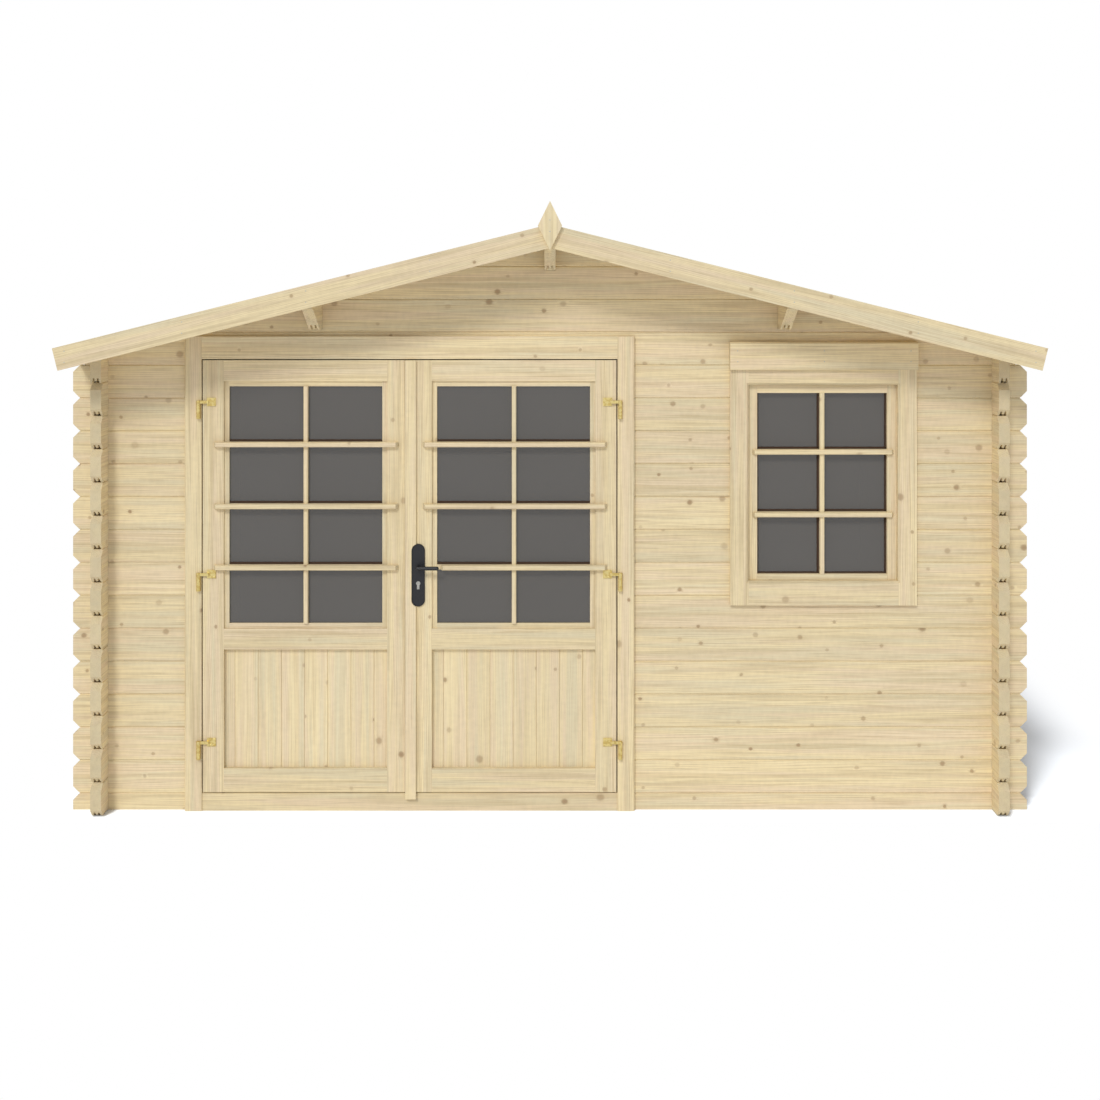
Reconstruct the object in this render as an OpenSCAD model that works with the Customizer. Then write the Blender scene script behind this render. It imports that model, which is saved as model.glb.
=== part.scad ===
// Garden cabin of interlocking spruce logs with a felted gable roof, half-glazed
// double doors and one window. Millimetres. X runs along the front, Y into the
// building, Z up. The origin is on the ground under the middle of the building.

/* [Walls] */
// Outside length of the log walls, corner to corner
wall_length = 3710; // [3400:10:4700]
// Outside depth of the log walls
wall_depth = 2710; // [2000:10:3600]
// Thickness of a log
log_thickness = 44; // [34:1:56]
// Cover height of one log
log_course = 135; // [110:1:165]
// Height of the side walls at their inner face
wall_height = 1908.5; // [1850:0.5:2100]
// Least height of the side walls' top log
plate_least = 100; // [80:5:120]
// How far the logs run past the corners
log_overhang = 100; // [60:5:140]

/* [Log profile] */
// Bevel along the faces, which makes the V joint
log_bevel = 4; // [2:0.5:7]
// Height of the two tongues
tongue_height = 12; // [6:0.5:12]
// Width of a tongue at its root
tongue_width = 8; // [6:0.5:9]
// How far the tongues stop short of the logs' bevelled ends
tongue_setback = 16; // [5:1:25]
// Distance between the tongues' centres
tongue_spacing = 17; // [12:1:20]
// Air between two logs inside their faces and over the tongues
log_relief = 7; // [1:0.5:8]
// Width of the two strips on which a log bears
bearing_width = 3; // [2:0.5:4]
// Corner cut off the ends of the logs
end_bevel = 28; // [10:1:40]
// Play between pieces that seat on each other
fit = 0.3; // [0.2:0.05:0.5]

/* [Roof] */
// Slope of the roof in degrees
roof_pitch = 14; // [10:0.5:20]
// How far the roof boards run past the front and back walls
gable_overhang = 272; // [200:1:400]
// How far the roof boards run past the side walls
eaves_overhang = 75; // [60:1:140]
// Thickness of the roof boards
deck_thickness = 18; // [15:1:24]
// Thickness of the roofing felt
felt_thickness = 3; // [2:0.5:5]
// How far the felt turns down over the eaves
felt_turndown = 40; // [20:1:60]
// Width of the bargeboards
bargeboard_width = 90; // [70:1:140]
// Thickness of the bargeboards
bargeboard_thickness = 18; // [15:1:24]
// How far the bargeboards stand above the roof boards' underside
bargeboard_rise = 29; // [24:1:40]
// Width of the finial
finial_width = 95; // [70:1:140]
// Height of the finial
finial_height = 194; // [150:1:260]
// Width of the battens under the eaves
batten_width = 18; // [15:1:30]
// Height of the battens under the eaves
batten_height = 46; // [40:1:46]
// Height of the ridge purlin
ridge_purlin_height = 150; // [120:1:200]
// Distance of the side purlins from the ridge
side_purlin_offset = 955; // [800:1:1100]
// Wood left under a side purlin's seat
purlin_seat = 12; // [12:1:20]
// How far the purlins' underside runs past the walls
purlin_toe = 70; // [20:1:150]
// Height over which the purlins' ends are cut on a slant
purlin_cut_height = 88; // [60:1:110]

/* [Doors] */
// Distance of the door opening from the left corner
door_from_corner = 431; // [300:1:500]
// Clear width between the jambs
door_opening = 1700; // [1400:5:1740]
// Height of the underside of the door head
door_head_z = 1848; // [1830:1:1860]
// Height of the top of the threshold
threshold_z = 73; // [70:1:78]
// Thickness of the door leaves
leaf_thickness = 40; // [34:1:44]
// Running gap round the leaves
leaf_gap = 5; // [5:0.5:6]
// Width of the stiles and the top rail
stile_width = 86; // [70:1:110]
// Width of the bottom rail
bottom_rail_width = 97; // [70:1:140]
// Height of the lower panels
panel_height = 486; // [380:1:600]
// Width of the middle rail
middle_rail_width = 85; // [60:1:120]
// Width of the step round the glass
bead_width = 21; // [14:1:26]
// Depth of the step round the glass
bead_setback = 8; // [5:1:12]
// Distance of the leaves' meeting line from the middle
meeting_offset = 13.3; // [10:0.1:20]
// Width of the astragal that covers the meeting line
astragal_width = 40; // [34:1:46]
// Thickness of the astragal
astragal_thickness = 14; // [10:1:20]
// How far the astragal hangs below the leaf
astragal_drop = 25; // [15:1:40]
// Thickness of the door panels
panel_thickness = 14; // [12:1:15]
// Wood of the stiles and rails left behind the door panels
panel_lip = 6; // [5:1:10]

/* [Frames] */
// Width of the frames' faces on the wall
flange_width = 69.5; // [50:0.5:90]
// How far the frames stand in front of the logs
flange_thickness = 20; // [15:1:28]
// Thickness of the frame that lines an opening
lining_thickness = 29; // [20:1:36]
// Height of the door head's face
head_height = 92; // [70:1:100]
// Room above the frames for the logs to settle
settling_gap = 40; // [30:1:60]
// Size of the stops behind the leaves and the sash
stop_size = 15; // [10:1:20]
// Thickness of the panes
glass_thickness = 4; // [3:0.5:6]
// Depth of the grooves that hold panes and panels
rebate = 8; // [6:0.5:10]

/* [Window] */
// Distance of the window opening from the right corner
window_from_corner = 431; // [300:1:560]
// Clear width of the window frame
window_opening = 612; // [450:1:700]
// Clear height of the window frame
window_height = 803; // [600:1:820]
// Height of the opening above the ground
window_from_ground = 938.8; // [900:0.1:960]
// Least height of the frame's bottom member
window_sill_least = 30; // [25:1:40]
// Width of the sash members
sash_width = 36; // [30:1:50]
// Depth of the sash members
sash_depth = 36; // [30:1:44]
// How far the sash lies behind the log face
sash_setback = 12; // [8:1:16]
// Height of the board over the window
lintel_board_height = 113; // [90:1:130]
// Thickness of the board over the window
lintel_board_thickness = 38; // [25:1:45]

/* [Hardware] */
// Radius of the hinge pins
pin_radius = 4; // [3:0.5:5]
// Outside radius of the hinge eyes
eye_radius = 8.5; // [7:0.5:10]
// Distance of the hinge axes in front of the frame's face
hinge_standoff = 10.5; // [10:0.5:14]
// Distance of the hinge axes from the edge of the door opening
hinge_inset = 11; // [9:0.5:15]
// Height of the legs that carry the hinge pins
hinge_leg_height = 62; // [40:1:80]
// Height of the hinge arms
hinge_arm_height = 12; // [8:1:16]
// Length of the lock plates
lock_plate_height = 255; // [200:1:300]
// Width of the lock plates
lock_plate_width = 53; // [40:1:60]
// Thickness of the lock plates
lock_plate_thickness = 9; // [6:0.5:12]
// Distance of the lock from the meeting edge
lock_backset = 49.6; // [40:0.1:60]
// Height of the lever's axis
lever_z = 1000; // [900:5:1100]
// Length of the lever from its axis
lever_length = 86; // [70:1:120]
// Thickness of the lever
lever_thickness = 16; // [12:1:20]
// Distance of the lock cylinder below the lever
cylinder_drop = 67; // [55:1:92]

/* [Floor] */
// Height of the floor joists
joist_height = 50; // [40:1:60]
// Thickness of the floor boards
floor_thickness = 18; // [15:1:22]
// Number of joists
joist_count = 6; // [4:1:9]

/* [Hidden] */
$fn = 48;

spruce = "#dccba4";
spruce_dark = "#cdb98f";
far = 6000;
eps = 0.01;

// Walls; the side walls' top logs make up what full courses leave of the height
wall_courses = floor((wall_height - plate_least) / log_course);
plate_height = wall_height - wall_courses * log_course;
half_length = wall_length / 2;
half_depth = wall_depth / 2;
inner_x = half_length - log_thickness;
inner_y = half_depth - log_thickness;
saddle_depth = log_course / 4;
front_y = -half_depth + log_thickness / 2;
side_x = half_length - log_thickness / 2;
lintel_course = wall_courses + 1;

// Roof
slope = tan(roof_pitch);
roof_apex_z = wall_height + inner_x * slope;
roof_end = half_depth + gable_overhang;
eaves_x = half_length + eaves_overhang;
gable_courses = ceil((roof_apex_z - front_log_z(lintel_course + 1)) / log_course);
purlin_z = front_log_z(lintel_course + 1) + purlin_seat;
ridge_z = roof_apex_z - ridge_purlin_height;
bargeboard_face = roof_end + bargeboard_thickness;

// Door opening, from the left corner
door_x0 = -half_length + door_from_corner;
door_x1 = door_x0 + door_opening;
door_mid = (door_x0 + door_x1) / 2;
door_cut_x0 = door_x0 - lining_thickness - fit;
door_cut_x1 = door_x1 + lining_thickness + fit;
door_cut_z = door_head_z + lining_thickness - 5 + settling_gap;
face_y = -half_depth - flange_thickness;
leaf_back_y = face_y + leaf_thickness;
leaf_z0 = threshold_z + leaf_gap;
leaf_z1 = door_head_z - leaf_gap;
meeting_x = door_mid - meeting_offset;
middle_rail_z = leaf_z0 + bottom_rail_width + panel_height;
glazing_z0 = middle_rail_z + middle_rail_width;
glazing_z1 = leaf_z1 - stile_width;
meeting_stile_reach = stile_width + leaf_gap;
sill_log_cut_z = joist_height;

// Window opening, from the right corner
window_x1 = half_length - window_from_corner;
window_x0 = window_x1 - window_opening;
window_mid = (window_x0 + window_x1) / 2;
window_z0 = window_from_ground;
window_sill_course = floor((window_z0 - window_sill_least) / log_course + 0.5);
window_cut_z0 = front_log_z(window_sill_course);
window_z1 = window_z0 + window_height;
window_cut_z1 = front_log_z(lintel_course);
lintel_board_z = window_cut_z1 - 17.5;
sash_y0 = -half_depth + sash_setback;
sash_y1 = sash_y0 + sash_depth;

// Hardware
hinge_y = face_y - hinge_standoff;
left_hinge_x = door_x0 - hinge_inset;
right_hinge_x = door_x1 + hinge_inset;
hinge_heights = [leaf_z0 + 205, (leaf_z0 + leaf_z1) / 2 + 9, leaf_z1 - 170];
lock_x = meeting_x + lock_backset;
spindle_radius = 5;

// Bottom of a front or back log; the courses are half a log out of step with the side walls
function front_log_z(course) = (course - 0.5) * log_course;

// One tongue or groove, left to right, at centre c on a line at height v
function tongue(c, width, height, v) = [
    [c - width / 2, v], [c - width / 2 + 1, v + height],
    [c + width / 2 - 1, v + height], [c + width / 2, v]
];

function reversed(points) = [for (i = [len(points) - 1:-1:0]) points[i]];

// ---------------------------------------------------------------- logs

// Section of a log: bevelled faces, two tongues on top and two grooves below
module log_section(height, tongues = true) {
    t = log_thickness / 2;
    c = tongue_spacing / 2;
    top = height - fit;
    groove_w = tongue_width + 2 * fit;
    relief_y = t - log_bevel - bearing_width;
    polygon(concat(
        [[-t, top - log_bevel], [-t + log_bevel, top]],
        tongues ? tongue(-c, tongue_width, tongue_height, top) : [],
        tongues ? tongue(c, tongue_width, tongue_height, top) : [],
        [[t - log_bevel, top], [t, top - log_bevel], [t, log_bevel], [t - log_bevel, 0]],
        [[relief_y, 0], [relief_y, log_relief]],
        reversed(tongue(c, groove_w, tongue_height, log_relief)),
        reversed(tongue(-c, groove_w, tongue_height, log_relief)),
        [[-relief_y, log_relief], [-relief_y, 0], [-t + log_bevel, 0], [-t, log_bevel]]
    ));
}

// Outline of a log seen from the side; free ends lose their corners at 45 degrees and stand
// beyond the tongues, so that the grooves of the log above show open
module log_outline(x0, x1, free0, free1, height) {
    top = height + tongue_height;
    cut0 = free0 ? end_bevel : 0;
    cut1 = free1 ? end_bevel : 0;
    tongue_x0 = free0 ? x0 + cut0 + tongue_setback : x0;
    tongue_x1 = free1 ? x1 - cut1 - tongue_setback : x1;
    polygon([
        [x0, cut0], [x0 + cut0, 0], [x1 - cut1, 0], [x1, cut1], [x1, height - cut1],
        if (free1) [x1 - cut1, height], if (free1) [tongue_x1, height], [tongue_x1, top],
        [tongue_x0, top], if (free0) [tongue_x0, height], if (free0) [x0 + cut0, height], [x0, height - cut0]
    ]);
}

// A log along X with its saddle notches over and under the crossing walls
module log(x0, x1, free0, free1, crossings = [], height = log_course, upper = true, tongues = true) {
    notch_width = log_thickness + 2 * fit;
    notch_depth = saddle_depth + fit / 2;
    difference() {
        intersection() {
            translate([x0, 0, 0]) rotate([90, 0, 90]) linear_extrude(x1 - x0) log_section(height, tongues);
            rotate([90, 0, 0]) linear_extrude(2 * log_thickness, center = true)
                log_outline(x0, x1, free0, free1, height);
        }
        for (x = crossings) {
            translate([x - notch_width / 2, -log_thickness, -log_course])
                cube([notch_width, 2 * log_thickness, log_course + notch_depth]);
            if (upper) translate([x - notch_width / 2, -log_thickness, log_course - notch_depth])
                cube([notch_width, 2 * log_thickness, log_course]);
        }
    }
}

// Everything above the underside of the roof boards
module above_roof(play = 0) {
    rotate([90, 0, 0]) linear_extrude(2 * far, center = true) polygon([
        [0, roof_apex_z - play], [far, roof_apex_z - play - far * slope], [far, far],
        [-far, far], [-far, roof_apex_z - play - far * slope]
    ]);
}

// Space that a purlin takes out of the gables
module purlin_space(x, z) {
    width = log_thickness + 2 * fit;
    translate([x - width / 2, -far, z - fit]) cube([width, 2 * far, far]);
}

module gable_clearance() {
    above_roof(fit);
    purlin_space(0, ridge_z);
    for (side = [-1, 1]) purlin_space(side * side_purlin_offset, purlin_z);
}

// Logs of a front or back wall from one course to another, cut out for the eaves battens
module front_logs(first, last, x0, x1, free0, free1, y = front_y) {
    crossings = [for (side = [-1, 1]) if (side * side_x > x0 && side * side_x < x1) side * side_x];
    difference() {
        for (course = [first:last])
            translate([0, y, front_log_z(course)]) log(x0, x1, free0, free1, crossings);
        if (last == lintel_course - 1) eaves_batten_blanks(fit);
    }
}

wall_end = half_length + log_overhang;

// The bottom log is half as high, so that front and side logs are half a course out of step
module sill_log(y) {
    difference() {
        front_logs(0, 0, -wall_end, wall_end, true, true, y);
        translate([-far, -far, -far]) cube([2 * far, 2 * far, far]);
    }
}

module front_sill_log() {
    color(spruce) difference() {
        sill_log(front_y);
        translate([door_cut_x0, -far, sill_log_cut_z])
            cube([door_cut_x1 - door_cut_x0, far, log_course]);
    }
}

module front_wall_left() {
    color(spruce) front_logs(1, lintel_course - 1, -wall_end, door_cut_x0, true, false);
}

module front_wall_middle() {
    color(spruce) front_logs(window_sill_course, lintel_course - 1,
        door_cut_x1, window_x0 - lining_thickness - fit, false, false);
}

module front_wall_right() {
    color(spruce) front_logs(window_sill_course, lintel_course - 1,
        window_x1 + lining_thickness + fit, wall_end, false, true);
}

module front_wall_under_window() {
    color(spruce) front_logs(1, window_sill_course - 1, door_cut_x1, wall_end, false, true);
}

// Log that bridges a whole gable wall at the eaves; it seats on the side walls' top logs
module eaves_log(y) {
    reach = half_length + 50;
    difference() {
        translate([0, y, front_log_z(lintel_course)])
            log(-reach, reach, false, false, [-side_x, side_x], upper = false);
        above_roof(fit);
    }
}

module door_lintel_log() {
    color(spruce) difference() {
        eaves_log(front_y);
        translate([door_cut_x0, -far, 0]) cube([door_cut_x1 - door_cut_x0, far, door_cut_z]);
    }
}

module gable(y) {
    difference() {
        for (course = [1:gable_courses]) {
            z = front_log_z(lintel_course + course);
            reach = (roof_apex_z - z) / slope;
            translate([0, y, z]) log(-reach, reach, false, false);
        }
        gable_clearance();
    }
}

module front_gable() {
    color(spruce_dark) gable(front_y);
}

module back_wall() {
    color(spruce) {
        sill_log(-front_y);
        front_logs(1, lintel_course - 1, -wall_end, wall_end, true, true, -front_y);
        eaves_log(-front_y);
    }
}

module back_gable() {
    color(spruce_dark) gable(-front_y);
}

// Side wall of full logs, with a taller top log bevelled to the roof
module side_wall(side) {
    reach = half_depth + log_overhang;
    plate_z = wall_courses * log_course;
    difference() {
        translate([side * side_x, 0, 0]) rotate([0, 0, 90]) {
            for (course = [0:wall_courses - 1])
                translate([0, 0, course * log_course]) log(-reach, reach, true, true, [front_y, -front_y]);
            translate([0, 0, plate_z]) log(-reach, reach, false, false, [front_y, -front_y],
                plate_height + log_bevel + 2 * fit, tongues = false);
        }
        above_roof(fit);
    }
}

module left_wall() {
    color(spruce) side_wall(-1);
}

module right_wall() {
    color(spruce) side_wall(1);
}

// ---------------------------------------------------------------- roof

// Purlin of log section; its ends are cut on a slant under the overhang
module purlin(x, z) {
    toe = half_depth + purlin_toe;
    end = roof_end - fit;
    top = roof_apex_z - z + 10;
    difference() {
        intersection() {
            translate([x, 0, z]) rotate([90, 0, 0]) linear_extrude(2 * end, center = true)
                log_section(top, false);
            rotate([90, 0, 90]) linear_extrude(2 * far, center = true) polygon([
                [-toe, z], [toe, z], [end - 20, z + purlin_cut_height], [end, z + purlin_cut_height],
                [end, z + top], [-end, z + top], [-end, z + purlin_cut_height],
                [-end + 20, z + purlin_cut_height]
            ]);
        }
        above_roof(fit);
    }
}

module ridge_purlin() {
    color(spruce_dark) purlin(0, ridge_z);
}

module side_purlins() {
    color(spruce_dark) for (side = [-1, 1]) purlin(side * side_purlin_offset, purlin_z);
}

// Strip parallel to the right roof slope, from the ridge to the eaves
module slope_strip(low, high, edge, ridge_play) {
    rise_low = low / cos(roof_pitch);
    rise_high = high / cos(roof_pitch);
    polygon([
        [ridge_play, roof_apex_z + rise_low - ridge_play * slope],
        [edge + low * sin(roof_pitch), roof_apex_z - edge * slope + low * cos(roof_pitch)],
        [edge + high * sin(roof_pitch), roof_apex_z - edge * slope + high * cos(roof_pitch)],
        [ridge_play, roof_apex_z + rise_high - ridge_play * slope]
    ]);
}

module along_roof(length) {
    rotate([90, 0, 0]) linear_extrude(length, center = true) children();
}

module roof_deck_right() {
    color(spruce_dark) along_roof(2 * roof_end) slope_strip(0, deck_thickness, eaves_x, fit / 2);
}

module roof_deck_left() {
    mirror([1, 0, 0]) roof_deck_right();
}

// One sheet over the ridge, turned down over both eaves
module roofing_felt() {
    low_z = roof_apex_z + (deck_thickness + fit) / cos(roof_pitch);
    high_z = low_z + felt_thickness / cos(roof_pitch);
    x0 = eaves_x + deck_thickness * sin(roof_pitch) + fit;
    x1 = x0 + felt_thickness;
    hem_z = low_z - x0 * slope - felt_turndown;
    edge = [[x1, high_z - x1 * slope], [x1, hem_z], [x0, hem_z], [x0, low_z - x0 * slope]];
    color("#4b4d4f") along_roof(2 * roof_end)
        polygon(concat([[0, high_z]], edge, [[0, low_z]], [for (p = reversed(edge)) [-p[0], p[1]]]));
}

module bargeboards() {
    low = bargeboard_rise * cos(roof_pitch) - bargeboard_width;
    high = bargeboard_rise * cos(roof_pitch);
    tip = eaves_x + 11;
    along_roof(bargeboard_thickness) for (side = [0, 1]) mirror([side, 0])
        slope_strip(low, high, tip, fit / 2);
}

module bargeboards_front() {
    color(spruce) translate([0, -roof_end - bargeboard_thickness / 2, 0]) bargeboards();
}

module bargeboards_back() {
    color(spruce) translate([0, roof_end + bargeboard_thickness / 2, 0]) bargeboards();
}

// Diamond that covers the bargeboards' joint at the ridge
module finial() {
    centre_z = roof_apex_z + 22.5;
    translate([0, 0, centre_z]) rotate([90, 0, 0]) linear_extrude(bargeboard_thickness, center = true)
        polygon([
            [0, -finial_height / 2], [finial_width / 2, 0], [0, finial_height / 2], [-finial_width / 2, 0]
        ]);
}

module finial_front() {
    color(spruce) translate([0, -bargeboard_face - bargeboard_thickness / 2, 0]) finial();
}

module finial_back() {
    color(spruce) translate([0, bargeboard_face + bargeboard_thickness / 2, 0]) finial();
}

// The battens before the roof cuts them
module eaves_batten_blanks(play = 0) {
    z0 = roof_apex_z - eaves_x * slope - batten_height;
    for (side = [0, 1]) mirror([side, 0, 0])
        translate([eaves_x - batten_width - play, -roof_end, z0 - play])
            cube([batten_width + 2 * play, 2 * roof_end, 2 * batten_height]);
}

module eaves_battens() {
    color(spruce_dark) difference() {
        eaves_batten_blanks();
        above_roof(fit);
    }
}

// ---------------------------------------------------------------- floor

module floor_joists() {
    reach = inner_x - fit;
    pitch = 2 * (inner_y - log_thickness) / (joist_count - 1);
    color(spruce_dark) for (i = [0:joist_count - 1])
        translate([-reach, -inner_y + log_thickness / 2 + i * pitch, 0])
            cube([2 * reach, log_thickness, joist_height]);
}

module floor_deck() {
    reach_x = inner_x - fit;
    reach_y = inner_y - 2 * fit;
    color(spruce_dark) translate([-reach_x, -reach_y, joist_height])
        cube([2 * reach_x, 2 * reach_y, floor_thickness]);
}

// ---------------------------------------------------------------- door frame

// Plan of a jamb round the ends of the logs; x grows towards the opening from its edge
module jamb_flange(y0) {
    translate([-flange_width, y0]) square([flange_width, flange_thickness - fit]);
}

module jamb_plan_front() {
    bevel = 5;
    y1 = -half_depth - fit;
    polygon([
        [-flange_width, y1], [-flange_width, face_y + bevel], [-flange_width + bevel, face_y],
        [0, face_y], [0, y1]
    ]);
}

module jamb() {
    lining_y1 = -inner_y + flange_thickness;
    stop_y0 = leaf_back_y + leaf_gap;
    top = door_head_z + head_height;
    lining_top = door_head_z + lining_thickness - 5;
    deck_top = joist_height + floor_thickness + fit;
    linear_extrude(top) jamb_plan_front();
    translate([0, 0, deck_top]) linear_extrude(top - deck_top) jamb_flange(-inner_y + fit);
    translate([-lining_thickness, -half_depth - fit - eps, sill_log_cut_z + fit])
        cube([lining_thickness, log_thickness + 2 * fit + 2 * eps, lining_top - sill_log_cut_z - fit]);
    translate([-eps, stop_y0, threshold_z + fit])
        cube([stop_size + eps, lining_y1 - stop_y0, door_head_z - stop_size - threshold_z - 2 * fit]);
}

module door_jambs() {
    color(spruce) {
        translate([door_x0, 0, 0]) jamb();
        translate([door_x1, 0, 0]) mirror([1, 0, 0]) jamb();
    }
}

module door_head() {
    lining_y1 = -inner_y + flange_thickness;
    stop_y0 = leaf_back_y + leaf_gap;
    lining_top = door_head_z + lining_thickness - 5;
    color(spruce) translate([door_x0 + fit, 0, 0]) rotate([90, 0, 90])
        linear_extrude(door_opening - 2 * fit) polygon([
            [face_y, door_head_z], [face_y, door_head_z + head_height],
            [-half_depth - fit, door_head_z + head_height], [-half_depth - fit, lining_top],
            [-inner_y + fit, lining_top], [-inner_y + fit, door_head_z + head_height],
            [lining_y1, door_head_z + head_height], [lining_y1, door_head_z - stop_size],
            [stop_y0, door_head_z - stop_size], [stop_y0, door_head_z]
        ]);
}

module door_threshold() {
    deck_top = joist_height + floor_thickness + fit;
    front = face_y + leaf_gap + 1;
    color(spruce) translate([door_x0 + fit, 0, 0]) rotate([90, 0, 90])
        linear_extrude(door_opening - 2 * fit) polygon([
            [front, 0], [front, threshold_z - 3], [front + 3, threshold_z],
            [-inner_y + stop_size, threshold_z], [-inner_y + stop_size, deck_top],
            [-inner_y + fit, deck_top], [-inner_y + fit, sill_log_cut_z + fit],
            [-half_depth - fit, sill_log_cut_z + fit], [-half_depth - fit, 0]
        ]);
}

// ---------------------------------------------------------------- window

// Block between two corners
module block(x0, x1, y0, y1, z0, z1) {
    translate([x0, y0, z0]) cube([x1 - x0, y1 - y0, z1 - z0]);
}

// Frame round the logs' ends, standing on the tongues of the log below
module window_frame() {
    bevel = 8;
    groove_width = tongue_width + 2 * fit;
    x0 = window_x0 - flange_width - 6;
    x1 = window_x1 + flange_width + 6;
    z0 = window_z0 - 98;
    z1 = lintel_board_z - fit;
    back_y = -inner_y + flange_thickness;
    stop_y = sash_y1 + fit;
    color(spruce) difference() {
        block(x0, x1, face_y, back_y, z0, z1);
        difference() {
            block(x0 - 1, x1 + 1, -half_depth - fit, -inner_y + fit, z0 - 1, z1 + 1);
            block(window_x0 - lining_thickness, window_x1 + lining_thickness, -half_depth - 1, -inner_y + 1,
                window_cut_z0 + fit, window_z1 + lining_thickness);
        }
        block(window_x0, window_x1, face_y - 1, stop_y, window_z0, window_z1);
        block(window_x0 + stop_size, window_x1 - stop_size, face_y, back_y + 1,
            window_z0 + stop_size, window_z1 - stop_size);
        hull() {
            block(window_x0 - bevel - 1, window_x1 + bevel + 1, face_y - 2, face_y - 1,
                window_z0 - bevel - 1, window_z1 + bevel + 1);
            block(window_x0, window_x1, face_y + bevel, face_y + bevel + 1, window_z0, window_z1);
        }
        for (side = [-1, 1]) translate([x0, front_y + side * tongue_spacing / 2 - groove_width / 2, 0])
            cube([x1 - x0, groove_width, window_cut_z0 + tongue_height]);
    }
}

module window_lintel_board() {
    x0 = window_x0 - flange_width - 8;
    length = window_opening + 2 * (flange_width + 8);
    bevel = 6;
    color(spruce) translate([x0, 0, 0]) rotate([90, 0, 90]) linear_extrude(length) polygon([
        [-half_depth - fit, lintel_board_z], [-half_depth - fit, lintel_board_z + lintel_board_height],
        [-half_depth - lintel_board_thickness + bevel, lintel_board_z + lintel_board_height],
        [-half_depth - lintel_board_thickness, lintel_board_z + lintel_board_height - bevel],
        [-half_depth - lintel_board_thickness, lintel_board_z]
    ]);
}

sash_gap = 3;
pane_y = sash_y1 - 10;

module window_sash() {
    x0 = window_x0 + sash_gap;
    x1 = window_x1 - sash_gap;
    z0 = window_z0 + sash_gap;
    z1 = window_z1 - sash_gap;
    color(spruce) difference() {
        block(x0, x1, sash_y0, sash_y1, z0, z1);
        block(x0 + sash_width, x1 - sash_width, sash_y0 - 1, sash_y1 + 1, z0 + sash_width - 15,
            z1 - sash_width + 4);
        window_pane(fit);
    }
}

module window_pane(play) {
    x0 = window_x0 + sash_gap + sash_width - rebate - play;
    z0 = window_z0 + sash_gap + sash_width - 15 - rebate - play;
    x1 = window_x1 - sash_gap - sash_width + rebate + play;
    z1 = window_z1 - sash_gap - sash_width + 4 + rebate + play;
    translate([x0, pane_y - play, z0]) cube([x1 - x0, glass_thickness + 2 * play, z1 - z0]);
}

module window_glass() {
    color("#6b6966", 0.5) window_pane(0);
}

// ---------------------------------------------------------------- door leaves

// Pane or panel between the stiles, held in grooves
module infill(x0, x1, z0, z1, y0, y1, play) {
    hold = rebate + play;
    translate([x0 - hold, y0 - play, z0 - hold])
        cube([x1 - x0 + 2 * hold, y1 - y0 + 2 * play, z1 - z0 + 2 * hold]);
}

// x0 and x1 are the inner edges of the leaf's stiles
module leaf_panel(x0, x1, play = 0) {
    y0 = leaf_back_y - panel_lip - panel_thickness;
    infill(x0, x1, leaf_z0 + bottom_rail_width, middle_rail_z, y0, y0 + panel_thickness, play);
}

module leaf_pane(x0, x1, play = 0) {
    y0 = face_y + (leaf_thickness - glass_thickness) / 2;
    infill(x0 + bead_width, x1 - bead_width, glazing_z0 + bead_width, glazing_z1 - bead_width,
        y0, y0 + glass_thickness, play);
}

// Rails between the stiles; the upper two carry the step round the glass
module leaf_rails(x0, x1) {
    length = x1 - x0 - fit;
    step_y = face_y + bead_setback;
    step_thickness = leaf_thickness - bead_setback;
    difference() {
        translate([x0 + fit / 2, 0, 0]) {
            translate([0, face_y, leaf_z0]) cube([length, leaf_thickness, bottom_rail_width]);
            translate([0, face_y, middle_rail_z]) cube([length, leaf_thickness, middle_rail_width]);
            translate([0, face_y, glazing_z1]) cube([length, leaf_thickness, leaf_z1 - glazing_z1]);
            translate([bead_width, step_y, glazing_z0 - eps])
                cube([length - 2 * bead_width, step_thickness, bead_width + eps]);
            translate([bead_width, step_y, glazing_z1 - bead_width])
                cube([length - 2 * bead_width, step_thickness, bead_width + eps]);
        }
        leaf_panel(x0, x1, fit);
        leaf_pane(x0, x1, fit);
    }
}

// Stile from its outer edge to its inner edge, which faces the glass
module leaf_stile(outer, inner) {
    dir = outer < inner ? 1 : -1;
    step_y = face_y + bead_setback;
    translate([min(outer, inner), face_y, leaf_z0])
        cube([abs(inner - outer), leaf_thickness, leaf_z1 - leaf_z0]);
    translate([dir > 0 ? inner - eps : inner - bead_width, step_y, glazing_z0 + fit])
        cube([bead_width + eps, leaf_thickness - bead_setback, glazing_z1 - glazing_z0 - 2 * fit]);
}

// The meeting edges slope back a little, so that either leaf swings clear of the other
module meeting_relief(x, dir) {
    relief = 2.5;
    y0 = face_y + 4;
    y1 = leaf_back_y + 1;
    translate([x, 0, leaf_z0 - 1]) linear_extrude(leaf_z1 - leaf_z0 + 2)
        polygon([[0, y0], [dir * relief, y1], [-dir, y1], [-dir, y0]]);
}

left_inner_x0 = door_x0 + leaf_gap + stile_width;
left_inner_x1 = door_mid - meeting_stile_reach;
right_inner_x0 = door_mid + meeting_stile_reach;
right_inner_x1 = door_x1 - leaf_gap - stile_width;

module left_door_stiles() {
    edge = meeting_x - leaf_gap - fit;
    color(spruce) difference() {
        union() {
            leaf_stile(door_x0 + leaf_gap, left_inner_x0);
            leaf_stile(edge, left_inner_x1);
        }
        leaf_panel(left_inner_x0, left_inner_x1, fit);
        leaf_pane(left_inner_x0, left_inner_x1, fit);
        meeting_relief(edge, -1);
    }
}

module left_door_rails() {
    color(spruce) leaf_rails(left_inner_x0, left_inner_x1);
}

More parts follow.
